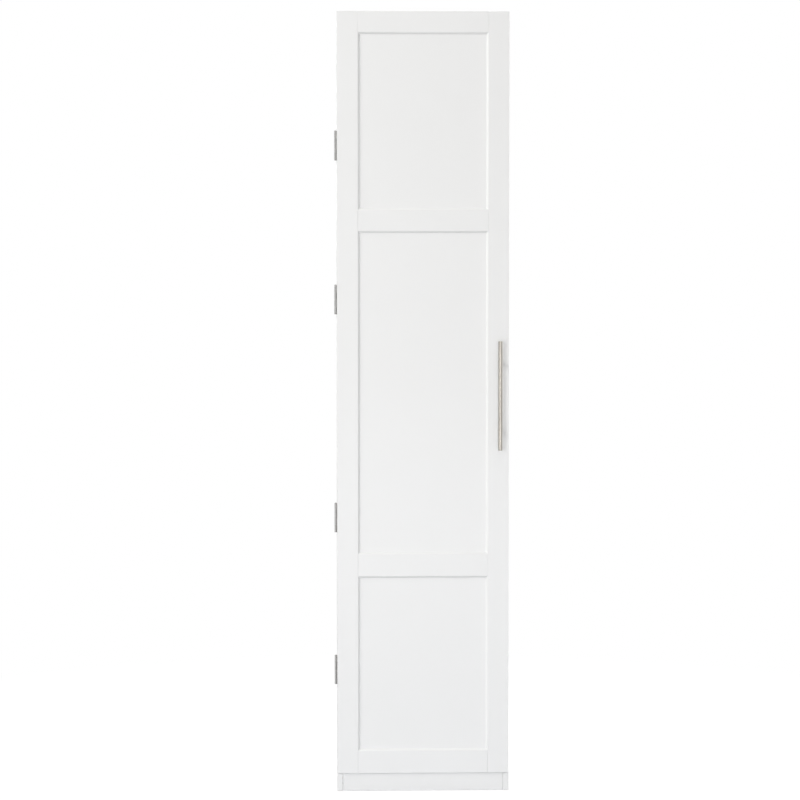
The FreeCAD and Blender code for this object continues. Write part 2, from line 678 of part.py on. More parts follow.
def cross_board(label, underside):
    """Board between the side panels, cams in its underside and dowels in its ends."""
    middle = f"{underside} + board / 2"
    piece = Piece(label, ("inner_left", "front", underside))
    outline = rectangle("inner_left", "front", "inner_right", "back_front")
    piece.extrude("+z", underside, outline, "board")
    cams = [(x, y) for x in ("cam_left", "cam_right") for y in ("joint_front", "joint_rear")]
    piece.drill("+z", underside, cams, "cam_bore_diameter", "cam_bore_depth")
    bolts = [("joint_front", middle), ("joint_rear", middle)]
    dowels = [("dowel_front", middle), ("dowel_rear", middle)]
    end_bores(piece, bolts, dowels)
    return piece


def nail_columns():
    """x of the nails along one board."""
    return spread("nail_left", "nail_right", NAILS_PER_BOARD)


def nail_pilots(piece, heights):
    """Pilot holes for the back's nails in a board's rear edge."""
    places = [(x, height) for x in nail_columns() for height in heights]
    piece.drill("-y", "back_front", places, "nail_hole", "nail_pilot_depth")


def top_panel():
    """Top, with pilots for the wall brackets' screws."""
    piece = cross_board("top_panel", "top_underside")
    nail_pilots(piece, ["top_middle"])
    screws = [(x, "bracket_screw_y") for x in ("bracket_left_x", "bracket_right_x")]
    piece.drill("+z", "top_underside", screws, "bracket_screw_pilot", "bracket_pilot_depth")
    return node(piece.body)


def divider_joint(piece, outside, way, inside, back_way):
    """Countersunk screw holes from the far face, and dowel holes from the divider's side."""
    screws = [("divider_middle", "joint_front"), ("divider_middle", "joint_rear")]
    dowels = [("divider_middle", "dowel_front"), ("divider_middle", "dowel_rear")]
    piece.countersink(way, outside, screws, "divider_screw_pilot", "divider_screw_head_cut")
    piece.drill(back_way, inside, dowels, "dowel_bore", "dowel_short_hole")


def bottom_panel():
    """Floor of the cupboard; the divider stands on it."""
    piece = cross_board("bottom_panel", "plinth_height")
    nail_pilots(piece, ["bottom_middle"])
    divider_joint(piece, "plinth_height", "+z", "bottom_top", "-z")
    return node(piece.body)


def fixed_shelf():
    """Fixed shelf on the divider; both back panels are nailed to it."""
    piece = cross_board("fixed_shelf", "shelf_underside")
    nail_pilots(piece, ["shelf_middle - nail_edge", "shelf_middle + nail_edge"])
    divider_joint(piece, "fixed_shelf_height", "-z", "shelf_underside", "+z")
    return node(piece.body)


def divider():
    """Upright board between the broom bay and the narrow shelves."""
    piece = Piece("divider", ("divider_left", "front", "bottom_top"))
    outline = rectangle("divider_left", "front", "divider_right", "back_front")
    piece.extrude("+z", "bottom_top", outline, "shelf_underside - bottom_top")
    screws = [("divider_middle", "joint_front"), ("divider_middle", "joint_rear")]
    dowels = [("divider_middle", "dowel_front"), ("divider_middle", "dowel_rear")]
    for way, end in (("+z", "bottom_top"), ("-z", "shelf_underside")):
        piece.drill(way, end, screws, "divider_screw_pilot", "divider_screw_hole")
        piece.drill(way, end, dowels, "dowel_bore", "dowel_long_hole")
    for number in range(1, SIDE_SHELVES + 1):
        pin_holes(piece, "-x", "divider_right", side_shelf_underside(number))
    return node(piece.body)


def plinth_side(side):
    """Side of the plinth; the side panel stands on it, and it reaches forward under the door."""
    sign, way = ("0 - ", "-x") if side == "left" else ("", "+x")
    outer = f"{sign}(overall_width / 2)"
    inner = f"{sign}(overall_width / 2 - board)"
    middle = f"{sign}(overall_width / 2 - board / 2)"
    piece = Piece(f"plinth_side_{side}", (outer, "plinth_end", "glide_thickness"))
    outline = rectangle(outer, "plinth_end", inner, "side_rear")
    piece.extrude("+z", "glide_thickness", outline, "plinth_height - glide_thickness")
    bolts, dowels = plinth_joint_places()
    piece.drill(way, inner, bolts, "cam_bolt_thread_bore", "cam_bolt_thread_hole")
    piece.drill(way, inner, dowels, "dowel_bore", "dowel_short_hole")
    piece.drill("-z", "plinth_height", carcass_dowels(middle), "dowel_bore", "dowel_short_hole")
    glides = [(middle, "plinth_end + glide_inset"), (middle, "side_rear - glide_inset")]
    nail = "glide_nail_diameter + 2 * thread_clearance"
    piece.drill("+z", "glide_thickness", glides, nail, "glide_nail_length + hole_end_play")
    return node(piece.body)


def plinth_board(label, face, way, cam_face):
    """Board across the plinth between its sides, its cams in the face towards the inside."""
    middle = f"{face} + board / 2"
    piece = Piece(label, ("inner_left", face, "glide_thickness"))
    outline = rectangle("inner_left", face, "inner_right", f"{face} + board")
    piece.extrude("+z", "glide_thickness", outline, "plinth_height - glide_thickness")
    cams = [("cam_left", "plinth_cam_height"), ("cam_right", "plinth_cam_height")]
    piece.drill(way, cam_face, cams, "cam_bore_diameter", "cam_bore_depth")
    end_bores(piece, [(middle, "plinth_cam_height")], [(middle, "plinth_dowel_height")])
    return node(piece.body)


def back_panel(label, low, high, nail_heights):
    """Hardboard back panel in the side panels' grooves."""
    piece = Piece(label, ("0 - back_half_width", "back_front", low))
    outline = rectangle("0 - back_half_width", low, "back_half_width", high)
    piece.extrude("+y", "back_front", outline, "back_thickness")
    nails = [(x, height) for x in nail_columns() for height in nail_heights]
    piece.drill("+y", "back_front", nails, "nail_hole", "back_thickness")
    return piece


def back_panels():
    """Upper and lower back panels, which meet behind the fixed shelf."""
    lower_nails = ["bottom_middle", "shelf_middle - nail_edge"]
    lower = back_panel("back_panel_lower", "plinth_height", "shelf_middle", lower_nails)
    node(lower.body)
    upper_nails = ["shelf_middle + nail_edge", "top_middle"]
    upper = back_panel("back_panel_upper", "shelf_middle", "overall_height", upper_nails)
    holes = [(x, "bracket_hole_z") for x in ("bracket_left_x", "bracket_right_x")]
    upper.drill("+y", "back_front", holes, "bracket_hole_diameter", "back_thickness")
    node(upper.body)


def adjustable_shelves():
    """One full-width shelf above the fixed one, and the narrow shelves beside the divider."""
    upper_place = ("upper_shelf_left", "shelf_front", "upper_shelf_height")
    upper_sides = ("shelf_right - upper_shelf_left", "upper_shelf_depth", "board")
    node(plain_box("upper_shelf", upper_place, upper_sides))
    for number in range(1, SIDE_SHELVES + 1):
        place = ("side_shelf_left", "shelf_front", side_shelf_underside(number))
        sides = ("shelf_right - side_shelf_left", "side_shelf_depth", "board")
        node(plain_box(f"side_shelf_{number}", place, sides))


def shelf_pins():
    """Four pins under each adjustable shelf."""
    piece = Piece("shelf_pin_master")
    piece.turned([
        ("0", "0 - shelf_pin_depth"),
        ("shelf_pin_diameter / 2", "0 - shelf_pin_depth"),
        ("shelf_pin_diameter / 2", "0"),
        ("shelf_pin_collar_diameter / 2", "0"),
        ("shelf_pin_collar_diameter / 2", "shelf_pin_collar"),
        ("shelf_pin_diameter / 2", "shelf_pin_collar"),
        ("shelf_pin_diameter / 2", "shelf_pin_reach"),
        ("0", "shelf_pin_reach"),
    ])
    rests = [("inner_left", "upper_shelf_height")]
    rests += [("divider_right", side_shelf_underside(n)) for n in range(1, SIDE_SHELVES + 1)]
    spots = []
    for left, underside in rests:
        height = f"{underside} - pin_drop"
        for depth in ("pin_row_front", "pin_row_rear"):
            spots.append(((left, depth, height), TO_RIGHT))
            spots.append((("inner_right", depth, height), TO_LEFT))
    group("shelf_pins", piece.body, spots)


# Cam and dowel joints

def cam_master():
    """Cam lock: driver slot in its lower face, channel towards -X for the bolt."""
    piece = Piece("cam_master")
    piece.turned([
        ("0", "0"),
        ("cam_diameter / 2", "0"),
        ("cam_diameter / 2", "cam_height"),
        ("0", "cam_height"),
    ])
    low = "(board - cam_channel) / 2"
    channel = rectangle("0 - cam_channel / 2", low, "cam_channel / 2", f"{low} + cam_channel")
    piece.cut("+x", "0 - cam_diameter / 2 - fit_clearance", channel,
              "cam_diameter / 2 + cam_channel / 2")
    slot = rectangle("0 - cam_slot_length / 2", "0 - cam_slot_width / 2",
                     "cam_slot_length / 2", "cam_slot_width / 2")
    piece.cut("+z", "0", slot, "cam_slot_depth")
    return piece.body


def cam_bolt_master():
    """Cam bolt: its thread goes down into the side panel, its shank up into the cam."""
    piece = Piece("cam_bolt_master")
    piece.turned([
        ("0", "0 - cam_bolt_thread_length"),
        ("cam_bolt_thread_diameter / 2", "0 - cam_bolt_thread_length"),
        ("cam_bolt_thread_diameter / 2", "0"),
        ("cam_bolt_collar_diameter / 2", "0"),
        ("cam_bolt_collar_diameter / 2", "cam_bolt_collar"),
        ("cam_bolt_diameter / 2", "cam_bolt_collar"),
        ("cam_bolt_diameter / 2", "cam_setback"),
        ("0", "cam_setback"),
    ])
    return piece.body


def dowel_master():
    """Dowel: its short end points down into the board that it stands on."""
    piece = Piece("dowel_master")
    piece.turned([
        ("0", "0 - dowel_short_end"),
        ("dowel_diameter / 2", "0 - dowel_short_end"),
        ("dowel_diameter / 2", "dowel_length - dowel_short_end"),
        ("0", "dowel_length - dowel_short_end"),
    ])
    return piece.body


def joints():
    """Cams, cam bolts and dowels at every board end, and the divider's dowels and screws."""
    cams, bolts, dowels = [], [], []
    undersides = ("plinth_height", "shelf_underside", "top_underside")
    for underside in undersides:
        for depth in ("joint_front", "joint_rear"):
            cams.append((("cam_left", depth, underside), UP))
            cams.append((("cam_right", depth, underside), HALF_TURN))
    front_cam = ("plinth_front_face + board", TO_FRONT)
    rear_cam = ("plinth_rear_face", TO_REAR)
    for depth, turn in (front_cam, rear_cam):
        cams.append((("cam_left", depth, "plinth_cam_height"), turn))
        cams.append((("cam_right", depth, "plinth_cam_height"), turn.multiply(HALF_TURN)))
    for bolt_places, dowel_places in (joint_places(), plinth_joint_places()):
        for face, turn in (("inner_left", TO_RIGHT), ("inner_right", TO_LEFT)):
            bolts += [((face, depth, height), turn) for depth, height in bolt_places]
            dowels += [((face, depth, height), turn) for depth, height in dowel_places]
    for middle in ("left_face + board / 2", "right_face - board / 2"):
        dowels += [((x, y, "plinth_height"), UP) for x, y in carcass_dowels(middle)]
    screws = []
    for end, dowel_turn, face in (("bottom_top", UP, "plinth_height"),
                                  ("shelf_underside", DOWN, "fixed_shelf_height")):
        for depth in ("dowel_front", "dowel_rear"):
            dowels.append((("divider_middle", depth, end), dowel_turn))
        for depth in ("joint_front", "joint_rear"):
            screw_turn = DOWN if face == "plinth_height" else UP
            screws.append((("divider_middle", depth, face), screw_turn))
    group("cam_locks", cam_master(), cams)
    group("cam_bolts", cam_bolt_master(), bolts)
    group("wood_dowels", dowel_master(), dowels)
    screw = flat_screw("divider_screw_master", "divider_screw_diameter",
                       "divider_screw_head_diameter", "divider_screw_length")
    group("divider_screws", screw, screws)


def back_nails():
    """Nails through the back panels into the boards' rear edges."""
    nail = pan_screw("nail_master", "nail_diameter", "nail_head_diameter", "nail_head",
                     "nail_length")
    heights = ("bottom_middle", "shelf_middle - nail_edge", "shelf_middle + nail_edge",
               "top_middle")
    rear = "back_front + back_thickness"
    spots = [((x, rear, height), TO_REAR) for x in nail_columns() for height in heights]
    group("back_panel_nails", nail, spots)


def floor_glides():
    """Nail-on glides, two under each plinth side."""
    piece = Piece("glide_master")
    top = "glide_thickness + glide_nail_length"
    piece.turned([
        ("0", "0"),
        ("glide_diameter / 2", "0"),
        ("glide_diameter / 2", "glide_thickness"),
        ("glide_nail_diameter / 2", "glide_thickness"),
        ("glide_nail_diameter / 2", top),
        ("0", top),
    ])
    spots = []
    for x in ("left_face + board / 2", "right_face - board / 2"):
        for y in ("plinth_end + glide_inset", "side_rear - glide_inset"):
            spots.append(((x, y, "0"), UP))
    group("floor_glides", piece.body, spots)


def wall_brackets():
    """Angle brackets under the top panel, flat against the inside of the back."""
    for side in ("left", "right"):
        middle = f"bracket_{side}_x"
        corner = f"{middle} - bracket_width / 2"
        low = "top_underside - bracket_leg"
        piece = Piece(f"wall_bracket_{side}", (corner, "back_front", "top_underside"))
        piece.extrude("+x", corner, [
            ("back_front", "top_underside"),
            ("back_front - bracket_leg", "top_underside"),
            ("back_front - bracket_leg", "top_underside - bracket_thickness"),
            ("back_front - bracket_thickness", "top_underside - bracket_thickness"),
            ("back_front - bracket_thickness", low),
            ("back_front", low),
        ], "bracket_width")
        piece.drill("-y", "back_front", [(middle, "bracket_hole_z")], "bracket_hole_diameter",
                    "bracket_thickness")
        piece.drill("-z", "top_underside", [(middle, "bracket_screw_y")], "bracket_screw_pilot",
                    "bracket_thickness")
        node(piece.body)
    screw = pan_screw("bracket_screw_master", "bracket_screw_diameter",
                      "bracket_screw_head_diameter", "bracket_screw_head", "bracket_screw_length")
    height = "top_underside - bracket_thickness"
    spots = [((f"bracket_{side}_x", "bracket_screw_y", height), DOWN) for side in ("left", "right")]
    group("wall_bracket_screws", screw, spots)


# Door

def door_stile(side):
    """Full-height stile, grooved along its inner edge."""
    outer, inner, sign = {
        "left": ("door_left", "sight_left", "-"),
        "right": ("door_right", "sight_right", "+"),
    }[side]
    groove = f"{inner} {sign} door_groove_depth"
    piece = Piece(f"door_stile_{side}", (outer, "door_front", "door_bottom_height"))
    piece.extrude("+z", "door_bottom_height", [
        (outer, "door_front"),
        (inner, "door_front"),
        (inner, "door_groove_front"),
        (groove, "door_groove_front"),
        (groove, "door_groove_back"),
        (inner, "door_groove_back"),
        (inner, "door_back"),
        (outer, "door_back"),
    ], "door_height")
    if side == "left":
        hinge_screws = [("leaf_screw_x", height) for height in hinge_screw_heights()]
        piece.drill("-y", "door_back", hinge_screws, "screw_pilot", "screw_pilot_depth")
    else:
        posts = [("handle_x", "handle_post_lower_z"), ("handle_x", "handle_post_upper_z")]
        hole = "handle_screw_diameter + 2 * handle_screw_play"
        piece.drill("-y", "door_back", posts, hole, "door_thickness")
        strikes = [("catch_middle", "catch_lower_height"), ("catch_middle", "catch_upper_height")]
        depth = "hinge_screw_length - strike_thickness + hole_end_play"
        piece.drill("-y", "door_back", strikes, "screw_pilot", depth)
    return node(piece.body)


def door_rail(label, low, width, groove_below, groove_above):
    """Rail between the stiles, a tongue at each end and a groove where a panel meets it."""
    high = f"{low} + {width}"
    piece = Piece(label, ("sight_left", "door_front", low))
    section = [("door_front", low)]
    if groove_below:
        floor = f"{low} + door_groove_depth"
        section += [("door_groove_front", low), ("door_groove_front", floor),
                    ("door_groove_back", floor), ("door_groove_back", low)]
    section += [("door_back", low), ("door_back", high)]
    if groove_above:
        floor = f"{high} - door_groove_depth"
        section += [("door_groove_back", high), ("door_groove_back", floor),
                    ("door_groove_front", floor), ("door_groove_front", high)]
    section += [("door_front", high)]
    piece.extrude("+x", "sight_left", section, "sight_right - sight_left")
    tongue_low = f"{low} + door_groove_depth" if groove_below else low
    tongue_high = f"{high} - door_groove_depth" if groove_above else high
    tongue = rectangle("panel_front", tongue_low, "panel_back", tongue_high)
    piece.extrude("+x", "sight_left - tongue_bite", tongue,
                  "sight_right - sight_left + 2 * tongue_bite")
    return node(piece.body)


def door_panel(label, low, high):
    """Flat panel let into the grooves around it; low and high bound its visible height."""
    place = ("sight_left - panel_bite", "panel_front", f"{low} - panel_bite")
    sides = ("sight_right - sight_left + 2 * panel_bite", "panel_thickness",
             f"{high} - ({low}) + 2 * panel_bite")
    return node(plain_box(label, place, sides))


def bead(label, side, low, high):
    """Bead along one side of a panel, mitred at both ends; low and high bound the panel."""
    upright = side in ("left", "right")
    edge, inwards, back = {
        "left": ("sight_left", "+", "-"),
        "right": ("sight_right", "-", "+"),
        "lower": (low, "+", "-"),
        "upper": (high, "-", "+"),
    }[side]
    profile = [("0", "0"), ("0", "bead_height"), ("bead_flat", "bead_height"),
               ("bead_width", "bead_nose"), ("bead_width", "0")]
    section = [(f"{edge} {inwards} {across}", f"panel_front - {height}")
               for across, height in profile]
    if upright:
        first, last = low, high
        piece = Piece(label, (edge, "panel_front", first))
        piece.extrude("+z", first, section, f"{last} - ({first})")
    else:
        first, last = "sight_left", "sight_right"
        piece = Piece(label, (first, "panel_front", edge))
        piece.extrude("+x", first, [(y, z) for z, y in section], f"{last} - {first}")
    outside = f"{edge} {back} bead_width"
    inside = f"{edge} {inwards} 2 * bead_width"
    for end, way, beyond in ((first, "+", "-"), (last, "-", "+")):
        corners = [(outside, f"{end} {beyond} bead_width"), (inside, f"{end} {beyond} bead_width"),
                   (inside, f"{end} {way} 2 * bead_width")]
        if not upright:
            corners = [(x, z) for z, x in corners]
        piece.cut("+y", "door_front", corners, "2 * panel_recess")
    return piece.body


def panel_beads():
    """Four mitred beads round each of the three panels."""
    sights = (("bottom", "rail_bottom_z + bottom_rail_width", "rail_lower_z"),
              ("middle", "rail_lower_z + lower_rail_width", "rail_upper_z"),
              ("top", "rail_upper_z + upper_rail_width", "rail_top_z"))
    compound = doc.addObject("Part::Compound", "panel_beads")
    compound.Label = "panel_beads"
    compound.Links = [bead(f"bead_{panel}_{side}", side, low, high)
                      for panel, low, high in sights
                      for side in ("left", "right", "lower", "upper")]
    node(compound)


def door_frame():
    """Stiles, rails and panels."""
    door_stile("left")
    door_stile("right")
    door_rail("door_rail_bottom", "rail_bottom_z", "bottom_rail_width", False, True)
    door_rail("door_rail_lower", "rail_lower_z", "lower_rail_width", True, True)
    door_rail("door_rail_upper", "rail_upper_z", "upper_rail_width", True, True)
    door_rail("door_rail_top", "rail_top_z", "upper_rail_width", True, False)
    door_panel("door_panel_bottom", "rail_bottom_z + bottom_rail_width", "rail_lower_z")
    door_panel("door_panel_middle", "rail_lower_z + lower_rail_width", "rail_upper_z")
    door_panel("door_panel_top", "rail_upper_z + upper_rail_width", "rail_top_z")


# Hinges

def hinge_leaf(hinge, owner):
    """One leaf with two of the four knuckles; the carcass leaf has the lowest knuckle."""
    on_carcass = owner == "carcass"
    low = f"hinge_{hinge}_z - hinge_length / 2"
    near = "hinge_plane + leaf_clearance / 2" if on_carcass else "door_back"
    own, other = ("0", "knuckle_pitch") if on_carcass else ("knuckle_pitch", "0")
    root = "hinge_axis + leaf_root"
    piece = Piece(f"hinge_{hinge}_{owner}_leaf", ("hinge_axis", "hinge_plane", low))
    plate = rectangle(root, near, "leaf_edge", f"{near} + leaf_thickness")
    piece.extrude("+z", low, plate, "hinge_length")
    axis = [("hinge_axis", "hinge_plane")]
    knuckle_low = f"{low} + {own}"
    barrel = piece.circles("+z", knuckle_low, axis, "knuckle_diameter")
    knuckle = piece.pad(barrel, "+z", "knuckle_length")
    piece.repeat(knuckle, "Z_Axis", "2 * knuckle_pitch", 2)
    notch = rectangle(root + " - knuckle_gap", f"{near} - knuckle_gap",
                      "hinge_axis + knuckle_diameter / 2 + knuckle_gap",
                      f"{near} + leaf_thickness + knuckle_gap")
    opening = piece.cut("+z", f"{low} + {other} - knuckle_gap", notch,
                        "knuckle_length + 2 * knuckle_gap")
    piece.repeat(opening, "Z_Axis", "2 * knuckle_pitch", 2)
    piece.drill("+z", low, axis, "knuckle_bore", "hinge_length")
    offsets = [step - (SCREWS_PER_LEAF - 1) / 2 for step in range(SCREWS_PER_LEAF)]
    centres = [("leaf_screw_x", f"hinge_{hinge}_z + {offset} * hinge_screw_pitch")
               for offset in offsets]
    way, face = ("+y", near) if on_carcass else ("-y", f"{near} + leaf_thickness")
    piece.countersink(way, face, centres, "screw_pilot", "screw_head_cut")
    return node(piece.body)


def hinges():
    """Four butt hinges with their pins and screws."""
    for hinge in HINGES:
        hinge_leaf(hinge, "carcass")
        hinge_leaf(hinge, "door")
    pin = Piece("hinge_pin_master")
    pin.turned([
        ("0", "0 - hinge_length / 2"),
        ("hinge_pin_diameter / 2", "0 - hinge_length / 2"),
        ("hinge_pin_diameter / 2", "hinge_length / 2"),
        ("hinge_pin_head_diameter / 2", "hinge_length / 2"),
        ("hinge_pin_head_diameter / 2", "hinge_length / 2 + hinge_pin_head"),
        ("0", "hinge_length / 2 + hinge_pin_head"),
    ])
    spots = [(("hinge_axis", "hinge_plane", f"hinge_{hinge}_z"), UP) for hinge in HINGES]
    group("hinge_pins", pin.body, spots)
    screw = flat_screw("hinge_screw_master", "screw_diameter", "screw_head_diameter",
                       "hinge_screw_length")
    carcass_face = "front - leaf_thickness"
    door_face = "door_back + leaf_thickness"
    heights = hinge_screw_heights()
    carcass = [(("leaf_screw_x", carcass_face, height), TO_FRONT) for height in heights]
    door = [(("leaf_screw_x", door_face, height), TO_REAR) for height in heights]
    group("hinge_screws_carcass", screw, carcass)
    group("hinge_screws_door", screw, door)
    return screw


# Handle

def handle():
    """Bar on two posts, held by screws through the stile."""
    low = "handle_height - handle_bar_length / 2"
    half, bevel = "handle_bar_diameter / 2", "handle_bar_bevel"
    bar = Piece("handle_bar", ("handle_x", "handle_bar_y", low))
    bar.turned([
        ("0", "0"),
        (f"{half} - {bevel}", "0"),
        (half, bevel),
        (half, f"handle_bar_length - {bevel}"),
        (f"{half} - {bevel}", "handle_bar_length"),
        ("0", "handle_bar_length"),
    ])
    heights = ("handle_post_lower_z", "handle_post_upper_z")
    posts = [("handle_x", height) for height in heights]
    seat = "handle_post_diameter + 2 * fit_clearance"
    bar.drill("-y", "handle_bar_rear", posts, seat, "handle_post_seat")
    node(bar.body)
    post = Piece("handle_post_master")
    thread = "handle_screw_diameter / 2 + thread_clearance"
    depth = "handle_screw_bite + hole_end_play"
    post.turned([
        (thread, "0"),
        ("handle_post_diameter / 2", "0"),
        ("handle_post_diameter / 2", "handle_post_length"),
        ("0", "handle_post_length"),
        ("0", depth),
        (thread, depth),
    ])
    post_spots = [(("handle_x", "door_front", height), TO_FRONT) for height in heights]
    group("handle_posts", post.body, post_spots)
    screw = pan_screw("handle_screw_master", "handle_screw_diameter",
                      "handle_screw_head_diameter", "handle_screw_head", "handle_screw_length")
    screw_spots = [(("handle_x", "door_back", height), TO_REAR) for height in heights]
    group("handle_screws", screw, screw_spots)


# Catches and bumpers

def catch_screw_heights():
    """Height of each screw of the two catch housings."""
    return [f"catch_{place}_height {sign} catch_screw_spacing / 2"
            for place in ("lower", "upper") for sign in ("-", "+")]


def catch_housing(place):
    """Housing on the right side panel, open to the front for the magnet and its plates."""
    middle = f"catch_{place}_height"
    low = f"{middle} - catch_length / 2"
    piece = Piece(f"catch_housing_{place}", ("catch_left", "front", low))
    outline = rectangle("catch_left", "front", "inner_right", "front + catch_depth")
    piece.extrude("+z", low, outline, "catch_length")
    half_width = "(magnet_width / 2 + pole_thickness + fit_clearance)"
    half_length = "(pole_length / 2 + fit_clearance)"
    cavity = rectangle(f"catch_middle - {half_width}", f"{middle} - {half_length}",
                       f"catch_middle + {half_width}", f"{middle} + {half_length}")
    piece.cut("+y", "front", cavity, "pole_depth + fit_clearance")
    screws = [("front + catch_depth / 2", f"{middle} {sign} catch_screw_spacing / 2")
              for sign in ("-", "+")]
    piece.drill("+x", "catch_left", screws, "screw_pilot", "catch_width")
    return node(piece.body)


def catches(flat_head_screw):
    """Two magnetic catches and their strike plates on the door."""
    places = ("lower", "upper")
    for place in places:
        catch_housing(place)
    magnet = plain_box("magnet_master", ("0", "0", "0"),
                       ("magnet_width", "magnet_depth", "magnet_length"))
    magnets = [(("magnet_left", "front + pole_depth - magnet_depth",
                 f"catch_{place}_height - magnet_length / 2"), UP) for place in places]
    group("catch_magnets", magnet, magnets)
    pole = plain_box("pole_master", ("0", "0", "0"),
                     ("pole_thickness", "pole_depth + pole_reach", "pole_length"))
    poles = [((x, "front - pole_reach", f"catch_{place}_height - pole_length / 2"), UP)
             for place in places for x in ("magnet_left - pole_thickness", "magnet_right")]
    group("catch_pole_plates", pole, poles)
    pan = pan_screw("catch_screw_master", "screw_diameter", "screw_head_diameter",
                    "catch_screw_head", "catch_screw_length")
    screws = [(("catch_left", "front + catch_depth / 2", height), TO_LEFT)
              for height in catch_screw_heights()]
    group("catch_screws", pan, screws)
    strike = Piece("strike_master")
    outline = rectangle("0 - strike_width / 2", "0 - strike_length / 2",
                        "strike_width / 2", "strike_length / 2")
    strike.extrude("+y", "0", outline, "strike_thickness")
    strike.countersink("-y", "strike_thickness", [("0", "0")], "screw_pilot", "screw_head_cut")
    strikes = [(("catch_middle", "door_back", f"catch_{place}_height"), UP) for place in places]
    group("catch_strike_plates", strike.body, strikes)
    fixings = [(("catch_middle", "door_back + strike_thickness", f"catch_{place}_height"), TO_REAR)
               for place in places]
    group("strike_plate_screws", flat_head_screw, fixings)


def door_bumpers():
    """Soft buttons on the right side panel's front edge."""
    piece = Piece("bumper_master")
    piece.turned([
        ("0", "0"),
        ("bumper_diameter / 2", "0"),
        ("bumper_diameter / 2", "bumper_shoulder"),
        ("bumper_crown_diameter / 2", "bumper_thickness"),
        ("0", "bumper_thickness"),
    ])
    spots = [(("bumper_x", "front", f"bumper_{place}_height"), TO_FRONT)
             for place in ("lower", "upper")]
    group("door_bumpers", piece.body, spots)


def build():
    """Every piece of the cupboard."""
    build_sheets()
    side_panel("left")
    side_panel("right")
    top_panel()
    bottom_panel()
    fixed_shelf()
    divider()
    plinth_side("left")
    plinth_side("right")
    plinth_board("plinth_front", "plinth_front_face", "-y", "plinth_front_face + board")
    plinth_board("plinth_rear", "plinth_rear_face", "+y", "plinth_rear_face")
    back_panels()
    adjustable_shelves()
    shelf_pins()
    joints()
    back_nails()
    floor_glides()
    wall_brackets()
    door_frame()
    panel_beads()
    screw = hinges()
    handle()
    catches(screw)
    door_bumpers()
    doc.recompute()


def check():
    """Stop on a failed feature, a bad shape, or a cut that takes nothing away."""
    for item in doc.Objects:
        if "Invalid" in item.State or "Error" in item.State:
            raise RuntimeError(f"{item.Name} failed: {item.State}")
        if item.TypeId in ("PartDesign::Pocket", "PartDesign::Hole"):
            if item.Shape.Volume >= item.BaseFeature.Shape.Volume:
                raise RuntimeError(f"{item.Name} cuts nothing")
    for item in nodes:
        if item.Shape.isNull() or not item.Shape.isValid():
            raise RuntimeError(f"{item.Label} has no valid shape")


def export():
    """One STEP file for each node."""
    os.makedirs("parts", exist_ok=True)
    for item in nodes:
        item.Shape.exportStep(f"parts/{item.Label}.step")
        box = item.Shape.BoundBox
        print(f"{item.Label}: {len(item.Shape.Solids)} solids, "
              f"x {box.XMin:.2f}..{box.XMax:.2f}, y {box.YMin:.2f}..{box.YMax:.2f}, "
              f"z {box.ZMin:.2f}..{box.ZMax:.2f}")
    print(f"{len(nodes)} nodes")


build()
check()
export()
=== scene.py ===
"""Looks of a broom cupboard with one full-height framed door.

Lengths are in metres. X runs to the right, Y from the door to the back, Z up from the floor.
"""

import logging
import math
from collections.abc import Callable, Mapping, Sequence
from dataclasses import dataclass
from enum import Enum, IntEnum
from typing import Any

import bmesh
import bpy
from mathutils import Euler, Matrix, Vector


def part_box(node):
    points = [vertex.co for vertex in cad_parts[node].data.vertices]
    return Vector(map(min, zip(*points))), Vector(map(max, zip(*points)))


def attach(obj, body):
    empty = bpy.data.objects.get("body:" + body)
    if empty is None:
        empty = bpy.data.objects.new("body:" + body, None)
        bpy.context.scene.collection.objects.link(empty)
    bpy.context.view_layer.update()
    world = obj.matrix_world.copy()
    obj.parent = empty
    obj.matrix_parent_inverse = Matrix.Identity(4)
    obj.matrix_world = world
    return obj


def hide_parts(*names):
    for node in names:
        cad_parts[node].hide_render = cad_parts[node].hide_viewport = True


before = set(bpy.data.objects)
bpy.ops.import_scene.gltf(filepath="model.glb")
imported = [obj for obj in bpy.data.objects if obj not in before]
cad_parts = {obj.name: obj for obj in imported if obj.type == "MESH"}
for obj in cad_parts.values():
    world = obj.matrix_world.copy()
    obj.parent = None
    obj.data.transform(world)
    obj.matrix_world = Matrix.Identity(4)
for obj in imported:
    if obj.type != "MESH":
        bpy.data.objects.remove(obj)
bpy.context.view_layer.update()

log = logging.getLogger("broom_cupboard")

MM = 0.001
MERGE_DISTANCE = 1e-6
PLANE_TOLERANCE = 2e-5
FLAT_ANGLE = math.radians(0.5)
FLAT_COSINE = math.cos(FLAT_ANGLE)
SMOOTH_ANGLE = math.radians(50)
RIM_ANGLE = math.radians(40)
SQUARE_ANGLE = math.radians(80)
SHORTEST_ARRIS = 15 * MM
SORTING_SLANT = Vector((1.0, 1.37, 0.73))
ROUND_PROFILE = 0.5
FINE_SEGMENTS = 3
FINE_GRAIN = 900.0
CLOUD_DETAIL = 3.0
FIBRE_DETAIL = 4.0
WAVE_SCALE = math.pi / 10
MIX_LOW, MIX_HIGH, MIX_RESULT = 6, 7, 2

Colour = tuple[float, float, float]
WHITE: Colour = (1.0, 1.0, 1.0)


class Axis(IntEnum):
    """The axes of the cupboard's frame."""

    X = 0
    Y = 1
    Z = 2


class Body(Enum):
    """The two bodies that every piece rides on."""

    CARCASS = "carcass"
    DOOR = "door"


class Hinge(Enum):
    """The four hinges, from the floor up."""

    BOTTOM = "bottom"
    LOWER = "lower"
    UPPER = "upper"
    TOP = "top"


# Shader nodes


